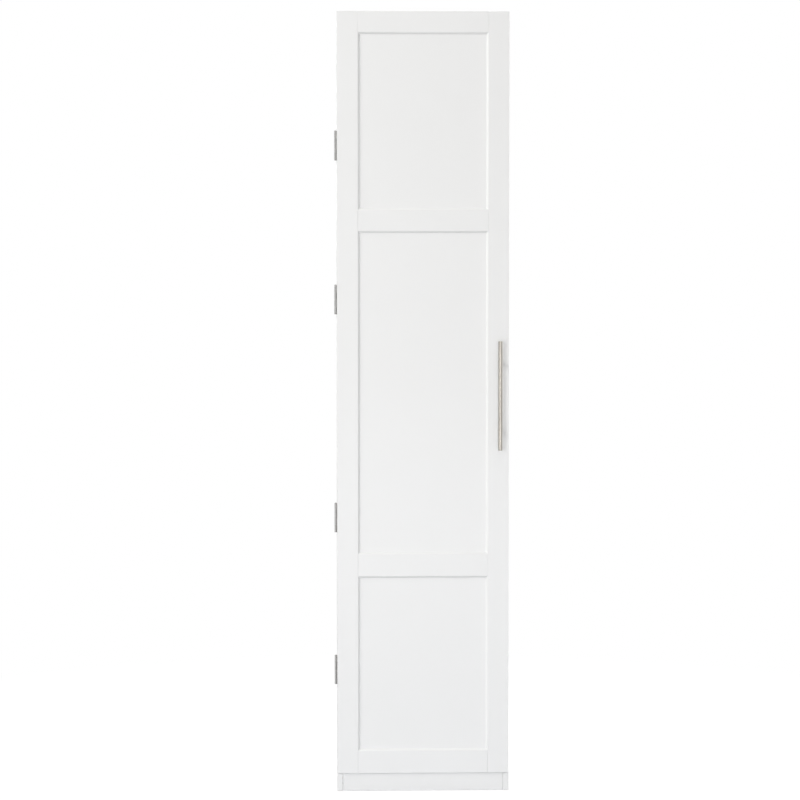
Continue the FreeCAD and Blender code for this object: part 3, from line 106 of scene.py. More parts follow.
class Field:
    """A number that varies over a surface; arithmetic on it adds Math nodes."""

    def __init__(self, shader: "Shader", output: bpy.types.NodeSocket) -> None:
        """Wrap one output of a shader's node."""
        self.shader = shader
        self.output = output

    def math(self, operation: str, first: "Field | float", second: "Field | float") -> "Field":
        """Add one Math node.

        Args:
            operation: Name of the Math node's operation.
            first: Left operand.
            second: Right operand.

        Returns:
            The node's result.
        """
        made = self.shader.node("ShaderNodeMath", {"operation": operation}, {0: first, 1: second})
        return Field(self.shader, made.outputs[0])

    def __add__(self, other: "Field | float") -> "Field":
        """Sum."""
        return self.math("ADD", self, other)

    __radd__ = __add__

    def __sub__(self, other: "Field | float") -> "Field":
        """Difference."""
        return self.math("SUBTRACT", self, other)

    def __rsub__(self, other: "Field | float") -> "Field":
        """Difference with the field on the right."""
        return self.math("SUBTRACT", other, self)

    def __mul__(self, other: "Field | float") -> "Field":
        """Product."""
        return self.math("MULTIPLY", self, other)

    __rmul__ = __mul__

    def __lt__(self, other: "Field | float") -> "Field":
        """One where the field is the smaller, else zero."""
        return self.math("LESS_THAN", self, other)

    def __gt__(self, other: "Field | float") -> "Field":
        """One where the field is the greater, else zero."""
        return self.math("GREATER_THAN", self, other)

    def __abs__(self) -> "Field":
        """Size without its sign."""
        return self.math("ABSOLUTE", self, 0.0)

    def around(self, middle: float, spread: float) -> "Field":
        """A field from 0 to 1 laid round a middle value, half its spread to each side."""
        return self * spread + (middle - spread / 2)


class Shader:
    """A node tree under construction."""

    def __init__(self, tree: bpy.types.NodeTree) -> None:
        """Start from an empty tree."""
        self.tree = tree
        self.tree.nodes.clear()

    def node(self, kind: str, settings: Mapping[str, Any] | None = None,
             inputs: Mapping[str | int, Any] | None = None) -> bpy.types.Node:
        """Add any node.

        Args:
            kind: Blender's name of the node's type.
            settings: The node's own settings, set first; "stops" fills a ramp.
            inputs: Values or links of its sockets, by name or number.

        Returns:
            The node.
        """
        made = self.tree.nodes.new(kind)
        for name, value in (settings or {}).items():
            if name == "stops":
                self.fill_ramp(made.color_ramp, value)
            else:
                setattr(made, name, value)
        for name, value in (inputs or {}).items():
            self.feed(made.inputs[name], value)
        return made

    def feed(self, socket: bpy.types.NodeSocket, value: Any) -> None:
        """Link or set one socket."""
        if isinstance(value, Field):
            self.tree.links.new(value.output, socket)
        elif isinstance(value, bpy.types.NodeSocket):
            self.tree.links.new(value, socket)
        elif socket.type == "RGBA":
            socket.default_value = (*value, 1.0)
        else:
            socket.default_value = value

    def fill_ramp(self, ramp: bpy.types.ColorRamp, stops: Sequence[tuple[float, Colour]]) -> None:
        """Give a ramp its stops, from the lowest up."""
        while len(ramp.elements) < len(stops):
            ramp.elements.new(1.0)
        for element, (place, colour) in zip(ramp.elements, stops):
            element.position = place
            element.color = (*colour, 1.0)

    def place(self) -> bpy.types.NodeSocket:
        """Coordinates of the surface in the cupboard's frame."""
        return self.node("ShaderNodeTexCoord").outputs["Object"]

    def coordinate(self, axis: Axis) -> Field:
        """One coordinate of the surface in the cupboard's frame."""
        parts = self.node("ShaderNodeSeparateXYZ", inputs={0: self.place()})
        return Field(self, parts.outputs[axis])

    def noise(self, scale: float, detail: float = 2.0,
              stretch: tuple[float, float, float] = (1.0, 1.0, 1.0)) -> Field:
        """Noise between 0 and 1.

        Args:
            scale: Features to the metre.
            detail: Octaves of finer noise.
            stretch: Factor on the scale along each axis.

        Returns:
            The noise.
        """
        mapped = self.node("ShaderNodeMapping", inputs={"Vector": self.place(), "Scale": stretch})
        made = self.node("ShaderNodeTexNoise", inputs={
            "Vector": mapped.outputs[0], "Scale": scale, "Detail": detail})
        return Field(self, made.outputs["Fac"])

    def wave(self, per_metre: float, axis: Axis) -> Field:
        """Bands between 0 and 1 that follow each other along one axis.

        Args:
            per_metre: Bands to the metre.
            axis: Axis along which they follow each other.

        Returns:
            The bands.
        """
        made = self.node("ShaderNodeTexWave", {"bands_direction": axis.name},
                         {"Vector": self.place(), "Scale": per_metre * WAVE_SCALE})
        return Field(self, made.outputs["Fac"])

    def mix(self, mask: Field, low: Any, high: Any) -> bpy.types.NodeSocket:
        """Colour that goes from low, where the mask is 0, to high, where it is 1."""
        made = self.node("ShaderNodeMix", {"data_type": "RGBA"},
                         {0: mask, MIX_LOW: low, MIX_HIGH: high})
        return made.outputs[MIX_RESULT]

    def blend(self, mask: Field, low: bpy.types.Node, high: bpy.types.Node) -> bpy.types.Node:
        """Shader that goes from low, where the mask is 0, to high, where it is 1."""
        return self.node("ShaderNodeMixShader", inputs={
            0: mask, 1: low.outputs[0], 2: high.outputs[0]})

    def ramp(self, value: Field, stops: Sequence[tuple[float, Colour]]) -> bpy.types.NodeSocket:
        """Colour read from a ramp."""
        return self.node("ShaderNodeValToRGB", {"stops": stops}, {0: value}).outputs["Color"]

    def bump(self, height: Field, depth: float) -> bpy.types.NodeSocket:
        """Normal disturbed by a height between 0 and 1 that stands for a depth in metres."""
        made = self.node("ShaderNodeBump", inputs={
            "Strength": 1.0, "Distance": depth, "Height": height})
        return made.outputs["Normal"]

    def surface(self, **inputs: Any) -> None:
        """Finish the tree with a Principled BSDF.

        Args:
            **inputs: Its sockets, with underscores for the spaces in their names.
        """
        named = {name.replace("_", " "): value for name, value in inputs.items()}
        principled = self.node("ShaderNodeBsdfPrincipled", inputs=named)
        self.node("ShaderNodeOutputMaterial", inputs={"Surface": principled.outputs[0]})


# Finishes


@dataclass(frozen=True)
class Finish:
    """A surface finish with the name of the record's slot that it stands for."""

    name: str
    slot: str
    colour: Colour

    def build(self, shader: Shader) -> None:
        """Fill the material's tree; each kind of finish has its own way."""
        raise NotImplementedError

    def material(self) -> bpy.types.Material:
        """The material, made once."""
        made = bpy.data.materials.get(self.name)
        if made is None:
            made = bpy.data.materials.new(self.name)
            made.use_nodes = True
            self.build(Shader(made.node_tree))
        return made

    def shade(self, factor: float) -> Colour:
        """The finish's colour made lighter or darker."""
        return tuple(min(1.0, channel * factor) for channel in self.colour)

    def clouded(self, shader: Shader, clouds: Field, depth: float) -> bpy.types.NodeSocket:
        """The finish's colour with a faint change of tone.

        Args:
            shader: Tree under construction.
            clouds: Where the tone goes from its darkest, 0, to its lightest, 1.
            depth: How far the tone goes to each side.

        Returns:
            The colour.
        """
        return shader.mix(clouds, self.shade(1 - depth), self.shade(1 + depth))


@dataclass(frozen=True)
class Lacquer(Finish):
    """Sprayed satin lacquer: faint clouds of colour and a fine orange peel."""

    roughness: float = 0.36
    spread: float = 0.08
    specular: float = 0.42
    cloud: float = 0.012
    clouds_per_metre: float = 2.2
    sheen_per_metre: float = 28.0
    peel_per_metre: float = 420.0
    peel_detail: float = 1.5
    peel_depth: float = 0.012 * MM

    def build(self, shader: Shader) -> None:
        """Clouded colour, uneven gloss and orange peel."""
        clouds = shader.noise(self.clouds_per_metre, CLOUD_DETAIL)
        colour = self.clouded(shader, clouds, self.cloud)
        sheen = shader.noise(self.sheen_per_metre, CLOUD_DETAIL)
        peel = shader.noise(self.peel_per_metre, self.peel_detail)
        shader.surface(Base_Color=colour, Roughness=sheen.around(self.roughness, self.spread),
                       Specular_IOR_Level=self.specular,
                       Normal=shader.bump(peel, self.peel_depth))


@dataclass(frozen=True)
class Melamine(Finish):
    """White melamine-faced board with a fine pearl grain and banded front edges."""

    roughness: float = 0.46
    spread: float = 0.07
    specular: float = 0.4
    cloud: float = 0.008
    clouds_per_metre: float = 1.7
    sheen_per_metre: float = 60.0
    grain_per_metre: float = FINE_GRAIN
    grain_depth: float = 0.014 * MM
    band_joint: float | None = None
    band_line: float = 0.16 * MM
    band_shade: float = 0.86

    def build(self, shader: Shader) -> None:
        """Grain over the whole face and a hairline where the edge band, if any, meets it."""
        colour = self.clouded(shader, shader.noise(self.clouds_per_metre), self.cloud)
        if self.band_joint is not None:
            joint = abs(shader.coordinate(Axis.Y) - self.band_joint) < self.band_line
            colour = shader.mix(joint, colour, self.shade(self.band_shade))
        sheen = shader.noise(self.sheen_per_metre)
        grain = shader.noise(self.grain_per_metre)
        shader.surface(Base_Color=colour, Roughness=sheen.around(self.roughness, self.spread),
                       Specular_IOR_Level=self.specular,
                       Normal=shader.bump(grain, self.grain_depth))


@dataclass(frozen=True)
class ParticleCore(Finish):
    """Pressed chips that show where a board is cut or bored."""

    roughness: float = 0.86
    specular: float = 0.2
    chips_per_metre: float = 420.0
    chip_relief: float = 0.3 * MM
    dust: float = 0.3
    lift: float = 0.1
    tones: tuple[tuple[float, float], ...] = ((0.0, 1.12), (0.45, 1.0), (0.8, 0.55))

    def build(self, shader: Shader) -> None:
        """Chips of several browns with gaps between them."""
        chips = shader.node("ShaderNodeTexVoronoi", inputs={
            "Vector": shader.place(), "Scale": self.chips_per_metre})
        height = Field(shader, chips.outputs["Distance"])
        colour = shader.ramp(height + shader.noise(FINE_GRAIN) * self.dust - self.lift,
                             [(stop, self.shade(tone)) for stop, tone in self.tones])
        shader.surface(Base_Color=colour, Roughness=self.roughness,
                       Specular_IOR_Level=self.specular,
                       Normal=shader.bump(height, self.chip_relief))


@dataclass(frozen=True)
class Hardboard(Finish):
    """Thin hardboard: white face turned to the inside, brown fibre with a mesh print behind."""

    middle: float = 0.0
    roughness: float = 0.46
    rougher_behind: float = 0.3
    specular: float = 0.35
    white_cloud: float = 0.01
    white_clouds_per_metre: float = 2.0
    dark_fibre: Colour = (0.188, 0.108, 0.056)
    light_fibre: Colour = (0.31725, 0.18225, 0.0945)
    brown_clouds_per_metre: float = 35.0
    brown_detail: float = 5.0
    fibres_per_metre: float = 700.0
    fibre_stretch: tuple[float, float, float] = (1.0, 1.0, 0.35)
    fibre_share: float = 0.5
    fibre_height: float = 0.2
    mesh_per_metre: float = 1100.0
    relief: float = 0.09 * MM

    def build(self, shader: Shader) -> None:
        """White in front of the board's middle plane, brown behind it."""
        behind = shader.coordinate(Axis.Y) > self.middle
        clouds = shader.noise(self.brown_clouds_per_metre, self.brown_detail)
        fibres = shader.noise(self.fibres_per_metre, FIBRE_DETAIL, self.fibre_stretch)
        blend = clouds * (1 - self.fibre_share) + fibres * self.fibre_share
        brown = shader.mix(blend, self.dark_fibre, self.light_fibre)
        white = self.clouded(shader, shader.noise(self.white_clouds_per_metre), self.white_cloud)
        across, upward = (shader.wave(self.mesh_per_metre, axis) for axis in (Axis.X, Axis.Z))
        mesh = across * upward
        height = behind * mesh + fibres * self.fibre_height
        shader.surface(Base_Color=shader.mix(behind, white, brown),
                       Roughness=behind * self.rougher_behind + self.roughness,
                       Specular_IOR_Level=self.specular,
                       Normal=shader.bump(height, self.relief))


@dataclass(frozen=True)
class Metal(Finish):
    """Metal with a drawn or tumbled grain."""

    roughness: float = 0.34
    spread: float = 0.16
    grain_per_metre: float = FINE_GRAIN
    grain_depth: float = 0.006 * MM
    stretch: tuple[float, float, float] = (1.0, 1.0, 1.0)
    blotch: float = 0.06
    blotches_per_metre: float = 70.0

    def build(self, shader: Shader) -> None:
        """Grain in the gloss and in the relief, with faint blotches of tone."""
        grain = shader.noise(self.grain_per_metre, CLOUD_DETAIL, self.stretch)
        blotches = shader.noise(self.blotches_per_metre, CLOUD_DETAIL)
        colour = self.clouded(shader, blotches, self.blotch)
        shader.surface(Base_Color=colour, Metallic=1.0,
                       Roughness=grain.around(self.roughness, self.spread),
                       Normal=shader.bump(grain, self.grain_depth))


@dataclass(frozen=True)
class Moulded(Finish):
    """Moulded plastic, rubber or ferrite with a fine matt texture."""

    roughness: float = 0.5
    spread: float = 0.1
    specular: float = 0.45
    texture_per_metre: float = 1800.0
    texture_depth: float = 0.01 * MM
    speckle: float = 0.02
    speckles_per_metre: float = 120.0

    def build(self, shader: Shader) -> None:
        """Fine texture with slightly uneven tone and gloss."""
        texture = shader.noise(self.texture_per_metre)
        speckles = shader.noise(self.speckles_per_metre, CLOUD_DETAIL)
        colour = self.clouded(shader, speckles, self.speckle)
        shader.surface(Base_Color=colour, Roughness=texture.around(self.roughness, self.spread),
                       Specular_IOR_Level=self.specular,
                       Normal=shader.bump(texture, self.texture_depth))


@dataclass(frozen=True)
class PlainWood(Finish):
    """Turned beech with flecks along the grain."""

    roughness: float = 0.62
    specular: float = 0.3
    stretch: tuple[float, float, float] = (0.12, 1.0, 1.0)
    tones: tuple[tuple[float, float], ...] = ((0.3, 0.72), (0.6, 1.0))
    pore_depth: float = 0.04 * MM

    def build(self, shader: Shader) -> None:
        """Flecked colour and shallow pores."""
        fleck = shader.noise(FINE_GRAIN, FIBRE_DETAIL, self.stretch)
        colour = shader.ramp(fleck, [(stop, self.shade(tone)) for stop, tone in self.tones])
        shader.surface(Base_Color=colour, Roughness=self.roughness,
                       Specular_IOR_Level=self.specular,
                       Normal=shader.bump(fleck, self.pore_depth))


WHITE_BOARD: Colour = (0.845, 0.845, 0.838)
WHITE_BACK: Colour = (0.82, 0.82, 0.81)
PLAIN_MELAMINE = Melamine("white_melamine_plain", "white_board", WHITE_BOARD)
CORE = ParticleCore("particle_core", "white_board", (0.56, 0.41, 0.25))
DOOR_LACQUER = Lacquer("door_lacquer", "door_paint", (0.85, 0.85, 0.845))
ZINC_PLATE = Metal("zinc_plate", "hinge_steel", (0.39, 0.385, 0.38), roughness=0.54)
BRIGHT_STEEL = Metal("bright_steel", "screw_steel", (0.6, 0.6, 0.59), roughness=0.3)
SATIN_NICKEL = Metal("satin_nickel", "handle_steel", (0.38, 0.355, 0.32), roughness=0.28,
                     spread=0.05, stretch=(1.0, 1.0, 0.01))
DIE_CAST = Metal("die_cast_zinc", "zinc_fittings", (0.58, 0.58, 0.57), roughness=0.46,
                 grain_per_metre=1500.0)
BEECH = PlainWood("plain_beech", "dowel_wood", (0.72, 0.55, 0.36))
GLIDE_PLASTIC = Moulded("glide_plastic", "glide_plastic", (0.8, 0.8, 0.79))
CATCH_PLASTIC = Moulded("catch_plastic", "catch_plastic", (0.84, 0.84, 0.83), roughness=0.42)
FERRITE = Moulded("sintered_ferrite", "magnet_ferrite", (0.07, 0.07, 0.072), roughness=0.6,
                  speckle=0.2)
BUMPER_RUBBER = Moulded("bumper_rubber", "bumper_rubber", (0.78, 0.78, 0.77), roughness=0.34)


# Making pieces


class Workpiece:
    """A mesh on the bench, started from a merged copy of a CAD node."""

    def __init__(self, node: str, flat_axes: tuple[Axis, ...] = tuple(Axis)) -> None:
        """Merge the node's loose triangles and join the ones that lie flat together.

        Args:
            node: CAD node that the piece stands for.
            flat_axes: Axes across which the piece's flat outer faces lie.
        """
        self.node = node
        self.flat_axes = flat_axes
        self.low, self.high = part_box(node)
        self.mesh = bmesh.new()
        self.mesh.from_mesh(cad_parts[node].data)
        bmesh.ops.remove_doubles(self.mesh, verts=self.mesh.verts, dist=MERGE_DISTANCE)
        bmesh.ops.dissolve_limit(self.mesh, angle_limit=FLAT_ANGLE, verts=self.mesh.verts,
                                 edges=self.mesh.edges, delimit={"NORMAL"})
        for face in self.mesh.faces:
            face.material_index = 0

    def on_plane(self, face: bmesh.types.BMFace, axis: Axis, place: float) -> bool:
        """Whether a face lies in the plane across an axis at a place."""
        return (abs(face.normal[axis]) > FLAT_COSINE
                and abs(face.calc_center_median()[axis] - place) < PLANE_TOLERANCE)

    def outside(self, face: bmesh.types.BMFace) -> bool:
        """Whether a face is one of the piece's flat outer faces."""
        return any(self.on_plane(face, axis, end[axis])
                   for axis in self.flat_axes for end in (self.low, self.high))

    def long_arris(self, edge: bmesh.types.BMEdge) -> bool:
        """Whether an edge is a long outer corner, not a hole's rim or a groove's mouth."""
        return (len(edge.link_faces) == 2 and edge.calc_length() > SHORTEST_ARRIS
                and edge.calc_face_angle_signed() > SQUARE_ANGLE
                and all(self.outside(face) for face in edge.link_faces))

    def face_arris(self, edge: bmesh.types.BMEdge) -> bool:
        """Whether an edge is a long corner of the front or back face, a shoulder's included."""
        return (len(edge.link_faces) == 2 and edge.calc_length() > SHORTEST_ARRIS
                and edge.calc_face_angle_signed() > SQUARE_ANGLE
                and any(self.on_plane(face, Axis.Y, end.y)
                        for face in edge.link_faces for end in (self.low, self.high)))

    def rim(self, edge: bmesh.types.BMEdge) -> bool:
        """Whether an edge runs round a flat outer face of a turned piece."""
        return (len(edge.link_faces) == 2 and edge.calc_face_angle_signed() > RIM_ANGLE
                and any(self.outside(face) for face in edge.link_faces))

    def ease(self, radius: float, chosen: Callable[[bmesh.types.BMEdge], bool],
             segments: int = 2) -> "Workpiece":
        """Round the chosen edges.

        Args:
            radius: Size of the rounding.
            chosen: Tells which edges are rounded.
            segments: Faces across the rounding.

        Returns:
            The workpiece.
        """
        edges = [edge for edge in self.mesh.edges if chosen(edge)]
        bmesh.ops.bevel(self.mesh, geom=edges, offset=radius, offset_type="OFFSET",
                        affect="EDGES", segments=segments, profile=ROUND_PROFILE, material=-1,
                        clamp_overlap=True)
        return self

    def hold_ends(self, axis: Axis, margin: float) -> "Workpiece":
        """Cut a ring near each end, so that the rounding's shading stops there.

        Args:
            axis: Axis that the turned piece lies along.
            margin: Distance of the rings from the ends.

        Returns:
            The workpiece.
        """
        along = Vector([float(each == axis) for each in Axis])
        for end, inwards in ((self.low, margin), (self.high, -margin)):
            everything = [*self.mesh.verts, *self.mesh.edges, *self.mesh.faces]
            bmesh.ops.bisect_plane(self.mesh, geom=everything, dist=MERGE_DISTANCE,
                                   plane_co=end + along * inwards, plane_no=along)
        return self.in_order()

    def in_order(self) -> "Workpiece":
        """Number the mesh's parts by their places, because a cut leaves them in any order."""
        self.mesh.verts.sort(key=lambda vert: vert.co.dot(SORTING_SLANT))
        self.mesh.edges.sort(key=lambda edge: sum(v.co.dot(SORTING_SLANT) for v in edge.verts))
        self.mesh.faces.sort(key=lambda face: face.calc_center_median().dot(SORTING_SLANT))
        return self

    def draw_in(self, place: float, shift: float) -> "Workpiece":
        """Move the part of the piece that lies in a plane across X, so that a joint stands open.

        Args:
            place: Where the plane lies.
            shift: How far it moves along X.

        Returns:
            The workpiece.
        """
        flat = [vert for vert in self.mesh.verts if abs(vert.co.x - place) < PLANE_TOLERANCE]
        bmesh.ops.translate(self.mesh, verts=flat, vec=(shift, 0.0, 0.0))
        return self

    def bare(self, chosen: Callable[[bmesh.types.BMFace], bool]) -> "Workpiece":
        """Give the chosen faces the piece's second finish."""
        for face in self.mesh.faces:
            if chosen(face):
                face.material_index = 1
        return self

    def done(self, name: str, body: Body, *finishes: Finish) -> bpy.types.Object:
        """Make the mesh a piece that stands for its node, with normals of its own.

        Args:
            name: Name of the piece.
            body: Body that it rides on.
            *finishes: Its finishes, in the order of its faces' numbers.

        Returns:
            The piece.
        """
        self.mesh.normal_update()
        for face in self.mesh.faces:
            face.smooth = not self.outside(face)
        for edge in self.mesh.edges:
            edge.smooth = edge.calc_face_angle(0.0) < SMOOTH_ANGLE
        data = bpy.data.meshes.new(name)
        self.mesh.to_mesh(data)
        self.mesh.free()
        data.attributes.remove(data.attributes["custom_normal"])
        for finish in finishes:
            data.materials.append(finish.material())
        piece = bpy.data.objects.new(name, data)
        bpy.context.scene.collection.objects.link(piece)
        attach(piece, body.value)
        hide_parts(self.node)
        log.info("%s: %d faces, stands for %s", name, len(data.polygons), self.node)
        return piece


def dress(finish: Finish, *nodes: str) -> None:
    """Give CAD nodes a finish in place of their plain one."""
    for node in nodes:
        for material_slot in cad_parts[node].material_slots:
            material_slot.material = finish.material()
        log.info("%s: dressed in %s", node, finish.name)


# Sub-assemblies


@dataclass
class Carcass:
    """Boards of the cupboard's case and its loose shelves."""

    sides: tuple[str, ...] = ("side_panel_left", "side_panel_right")
    fixed: tuple[str, ...] = ("top_panel", "bottom_panel", "fixed_shelf", "divider")
    shelves: tuple[str, ...] = ("upper_shelf", "side_shelf_1", "side_shelf_2", "side_shelf_3",
                                "side_shelf_4")
    plinth_sides: tuple[str, ...] = ("plinth_side_left", "plinth_side_right")
    plinth_boards: tuple[str, ...] = ("plinth_front", "plinth_rear")
    backs: tuple[str, ...] = ("back_panel_lower", "back_panel_upper")
    arris: float = 0.35 * MM
    plinth_arris: float = 0.8 * MM
    plinth_gap: float = 0.45 * MM
    band_thickness: float = 1.0 * MM

    def board(self, node: str, face: Finish) -> bpy.types.Object:
        """One board with eased arrises and its core showing where it is cut or bored."""
        piece = Workpiece(node)
        rear, floor = piece.high.y, piece.low.z
        raw_ends = node in (*self.sides, *self.plinth_sides)

        def cut(side: bmesh.types.BMFace) -> bool:
            """Whether the board's core shows on a face."""
            raw = piece.on_plane(side, Axis.Y, rear) or piece.on_plane(side, Axis.Z, floor)
            return not piece.outside(side) or (raw_ends and raw)

        piece.bare(cut)
        if node in self.plinth_boards:
            piece.draw_in(piece.low.x, self.plinth_gap).draw_in(piece.high.x, -self.plinth_gap)
        if node in (*self.plinth_sides, *self.plinth_boards):
            piece.ease(self.plinth_arris, piece.face_arris, FINE_SEGMENTS)
        else:
            piece.ease(self.arris, piece.long_arris)
        return piece.done(f"{node}_board", Body.CARCASS, face, CORE)

    def banded_face(self, node: str) -> Finish:
        """White melamine whose edge band ends behind the board's front edge."""
        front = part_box(node)[0].y
        return Melamine(f"white_melamine_{round(-front / MM)}", "white_board", WHITE_BOARD,
                        band_joint=front + self.band_thickness)

    def build(self) -> None:
        """Make the boards and dress the backs."""
        for node in (*self.sides, *self.fixed, *self.shelves, *self.plinth_sides):
            self.board(node, self.banded_face(node))
        for node in self.plinth_boards:
            self.board(node, PLAIN_MELAMINE)
        middle = sum(end.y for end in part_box(self.backs[0])) / 2
        dress(Hardboard("white_hardboard", "back_board", WHITE_BACK, middle=middle), *self.backs)


@dataclass
class CaseFittings:
    """Small hardware that holds the case together, off the floor and to the wall."""

    zinc: tuple[str, ...] = ("cam_locks", "cam_bolts", "shelf_pins")
    steel: tuple[str, ...] = ("divider_screws", "wall_bracket_screws", "back_panel_nails")
    brackets: tuple[str, ...] = ("wall_bracket_left", "wall_bracket_right")
    bracket_arris: float = 0.3 * MM

    def build(self) -> None:
        """Dress the hardware and ease the brackets."""
        dress(DIE_CAST, *self.zinc)
        dress(BRIGHT_STEEL, *self.steel)
        dress(BEECH, "wood_dowels")
        dress(GLIDE_PLASTIC, "floor_glides")
        for node in self.brackets:
            piece = Workpiece(node)
            piece.ease(self.bracket_arris, piece.long_arris)
            piece.done(f"{node}_plate", Body.CARCASS, ZINC_PLATE)


@dataclass
class DoorLeaf:
    """The framed door with its three recessed panels."""

    stiles: tuple[str, ...] = ("door_stile_left", "door_stile_right")
    rails: tuple[str, ...] = ("door_rail_bottom", "door_rail_lower", "door_rail_upper",
                              "door_rail_top")
    panels: tuple[str, ...] = ("door_panel_bottom", "door_panel_middle", "door_panel_top")
    arris: float = 0.6 * MM
    joint_gap: float = 0.18 * MM

    def open_joints(self, rail: Workpiece) -> None:
        """Draw a rail's shoulders back from the stiles, so that each joint shows as a hairline."""
        for stile, inwards in zip(self.stiles, (1.0, -1.0)):
            sight = min((end.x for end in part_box(stile)), key=abs)
            rail.draw_in(sight, inwards * self.joint_gap)

    def build(self) -> None:
        """Ease the frame's arrises and dress the panels and their beads."""
        for node in (*self.stiles, *self.rails):
            piece = Workpiece(node)
            if node in self.rails:
                self.open_joints(piece)
            piece.ease(self.arris, piece.face_arris, FINE_SEGMENTS)
            piece.done(f"{node}_eased", Body.DOOR, DOOR_LACQUER)
        dress(DOOR_LACQUER, *self.panels, "panel_beads")


@dataclass
class HingeSet:
    """Four butt hinges with their pins and screws."""

    places: tuple[Hinge, ...] = tuple(Hinge)

    def build(self) -> None:
        """Dress leaves, pins and screws."""
        for place in self.places:
            for body in Body:
                dress(ZINC_PLATE, f"hinge_{place.value}_{body.value}_leaf")
        dress(ZINC_PLATE, "hinge_pins")
        dress(BRIGHT_STEEL, "hinge_screws_carcass", "hinge_screws_door")


@dataclass
class Handle:
    """Bar handle on two posts."""

    bar_rim: float = 0.25 * MM
    post_rim: float = 0.2 * MM
    ring: float = 1.2 * MM

    def build(self) -> None:
        """Round the rims of the bar and the posts."""
        bar = Workpiece("handle_bar", (Axis.Z,))
        bar.ease(self.bar_rim, bar.rim).hold_ends(Axis.Z, self.ring)
        bar.done("handle_bar_turned", Body.DOOR, SATIN_NICKEL)
        posts = Workpiece("handle_posts", (Axis.Y,))
        posts.ease(self.post_rim, posts.rim).hold_ends(Axis.Y, self.ring)
        posts.done("handle_posts_turned", Body.DOOR, SATIN_NICKEL)
        dress(BRIGHT_STEEL, "handle_screws")


@dataclass
class Catches:
    """Magnetic catches, their strike plates and the soft bumpers."""

    housings: tuple[str, ...] = ("catch_housing_lower", "catch_housing_upper")

    def build(self) -> None:
        """Dress the catches."""
        dress(CATCH_PLASTIC, *self.housings)
        dress(FERRITE, "catch_magnets")
        dress(ZINC_PLATE, "catch_pole_plates", "catch_strike_plates")
        dress(BRIGHT_STEEL, "catch_screws", "strike_plate_screws")
        dress(BUMPER_RUBBER, "door_bumpers")


# Studio


@dataclass(frozen=True)
class Lamp:
    """One soft lamp that points at a place."""

    name: str
    place: tuple[float, float, float]
    aim: tuple[float, float, float]
    width: float
    height: float
    power: float
    tint: Colour = WHITE

    def build(self) -> None:
        """Hang the lamp."""
        data = bpy.data.lights.new(self.name, "AREA")
        data.shape = "RECTANGLE"
        data.size = self.width
        data.size_y = self.height
        data.energy = self.power
        data.color = self.tint
        lamp = bpy.data.objects.new(self.name, data)
        lamp.location = self.place
        beam = Vector(self.aim) - Vector(self.place)
        lamp.rotation_euler = beam.to_track_quat("-Z", "Y").to_euler()
        bpy.context.scene.collection.objects.link(lamp)


def seen(shader: Shader) -> Field:
    """One for camera, glossy and transmission rays, zero for the light that falls on things."""
    path = shader.node("ShaderNodeLightPath").outputs
    camera, glossy, clear = (Field(shader, path[f"Is {kind} Ray"])
                             for kind in ("Camera", "Glossy", "Transmission"))
    return camera + glossy + clear > 0.5


@dataclass(frozen=True)
class Floor:
    """Floor that shows a soft shadow near the cupboard and is plain white farther off."""

    name: str = "studio_floor"
    half: float = 30.0
    fade_from: float = 0.5
    fade_to: float = 2.5
    bounce_near: Colour = (0.63, 0.645, 0.68)
    bounce_far: Colour = (0.54, 0.54, 0.54)
    paper: Colour = (0.3, 0.3, 0.3)
    glow: float = 0.82

    def material(self) -> bpy.types.Material:
        """Glowing paper that fades to white where seen, a plain tone for the light thrown back."""
        made = bpy.data.materials.new(self.name)
        made.use_nodes = True
        shader = Shader(made.node_tree)
        away = shader.node("ShaderNodeVectorMath", {"operation": "LENGTH"}, {0: shader.place()})
        fade = shader.node("ShaderNodeMapRange", inputs={
            "Value": away.outputs["Value"], "From Min": self.fade_from, "From Max": self.fade_to})
        distance = Field(shader, fade.outputs[0])
        bounce = shader.mix(distance, self.bounce_near, self.bounce_far)
        plain = shader.node("ShaderNodeBsdfDiffuse", inputs={"Color": bounce})
        paper = shader.node("ShaderNodeBsdfDiffuse", inputs={"Color": self.paper})
        glow = shader.node("ShaderNodeEmission", inputs={"Strength": self.glow})
        near = shader.node("ShaderNodeAddShader", inputs={
            0: paper.outputs[0], 1: glow.outputs[0]})
        white = shader.node("ShaderNodeEmission", inputs={"Strength": 1.0})
        both = shader.blend(seen(shader), plain, shader.blend(distance, near, white))
        shader.node("ShaderNodeOutputMaterial", inputs={"Surface": both.outputs[0]})
        return made

    def build(self) -> None:
        """Lay the floor."""
        mesh = bmesh.new()
        bmesh.ops.create_grid(mesh, x_segments=1, y_segments=1, size=self.half)
        data = bpy.data.meshes.new(self.name)
        mesh.to_mesh(data)
        mesh.free()
        data.materials.append(self.material())
        floor = bpy.data.objects.new(self.name, data)
        bpy.context.scene.collection.objects.link(floor)


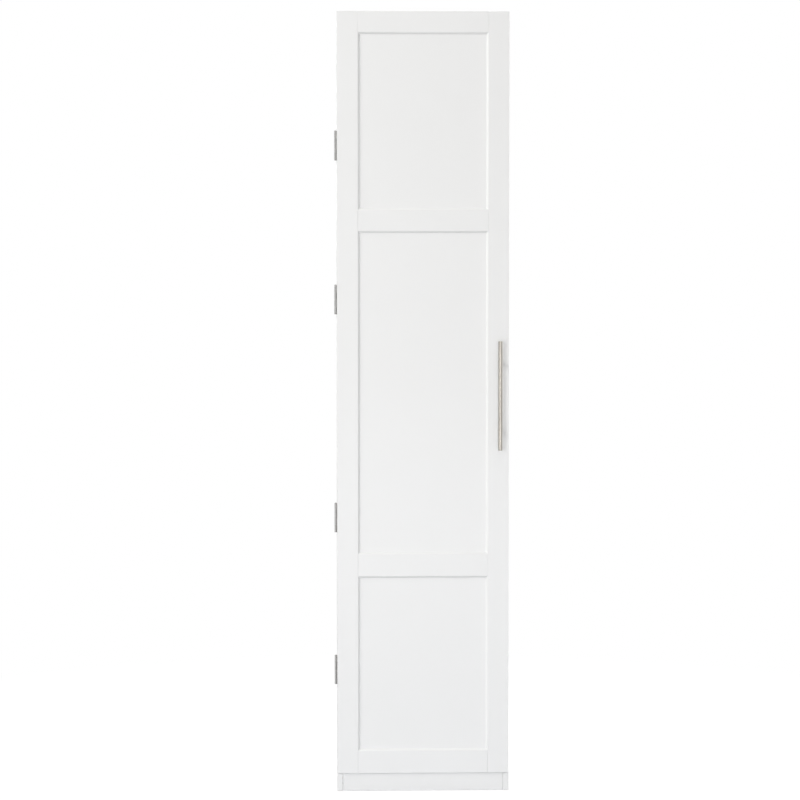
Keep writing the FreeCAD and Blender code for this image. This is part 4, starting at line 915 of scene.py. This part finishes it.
@dataclass(frozen=True)
class Surroundings:
    """White wherever it is seen, a plain even light everywhere else."""

    light: float = 0.5
    tint: Colour = (1.0, 0.994, 0.982)

    def build(self) -> None:
        """Make the world."""
        world = bpy.data.worlds.new("studio_world")
        world.use_nodes = True
        shader = Shader(world.node_tree)
        light = shader.node("ShaderNodeBackground", inputs={
            "Color": self.tint, "Strength": self.light})
        white = shader.node("ShaderNodeBackground", inputs={"Color": WHITE, "Strength": 1.0})
        both = shader.blend(seen(shader), light, white)
        shader.node("ShaderNodeOutputWorld", inputs={"Surface": both.outputs[0]})
        bpy.context.scene.world = world


@dataclass(frozen=True)
class Camera:
    """Camera at eye height in front of the cupboard."""

    name: str = "studio_camera"
    place: tuple[float, float, float] = (-0.2557, -7.1018, 1.4409)
    tilt: float = math.radians(-2.46)
    pan: float = math.radians(1.563)
    lens: float = 107.56
    sensor: float = 36.0

    def build(self) -> None:
        """Set up the camera."""
        data = bpy.data.cameras.new(self.name)
        data.lens = self.lens
        data.sensor_width = self.sensor
        camera = bpy.data.objects.new(self.name, data)
        camera.location = self.place
        camera.rotation_euler = Euler((math.pi / 2 + self.tilt, 0.0, -self.pan))
        bpy.context.scene.collection.objects.link(camera)
        bpy.context.scene.camera = camera


WARM: Colour = (1.0, 0.99, 0.97)
COOL: Colour = (0.92, 0.95, 1.0)
STUDIO = (
    Camera(),
    Surroundings(),
    Floor(),
    Lamp("key_lamp", (-1.9, -4.96, 1.4), (0.3, -0.18, 1.35), 0.5, 2.0, 52.0),
    Lamp("fill_lamp", (-5.32, -3.25, 5.45), (0.0, -0.18, 1.15), 3.0, 3.0, 215.0, WARM),
    Lamp("high_lamp", (0.3, -4.02, 5.75), (0.2, -0.18, 1.15), 1.6, 2.0, 18.0, WARM),
    Lamp("low_lamp", (0.3, -4.3, 0.3), (0.4, -0.18, 0.0), 1.6, 0.5, 20.0, COOL),
    Lamp("side_lamp", (4.8, 1.0, 2.4), (0.25, 0.03, 1.13), 2.0, 2.0, 60.0),
    Lamp("back_lamp", (-1.6, 4.8, 2.6), (0.0, 0.21, 1.13), 2.0, 2.0, 60.0),
)


def main() -> None:
    """Build the cupboard and its studio."""
    logging.basicConfig(level=logging.INFO, format="%(name)s: %(message)s")
    bpy.context.scene.view_settings.view_transform = "Standard"
    for equipment in STUDIO:
        equipment.build()
    for assembly in (Carcass(), CaseFittings(), DoorLeaf(), HingeSet(), Handle(), Catches()):
        log.info("sub-assembly %s", type(assembly).__name__)
        assembly.build()


if __name__ == "__main__":
    main()
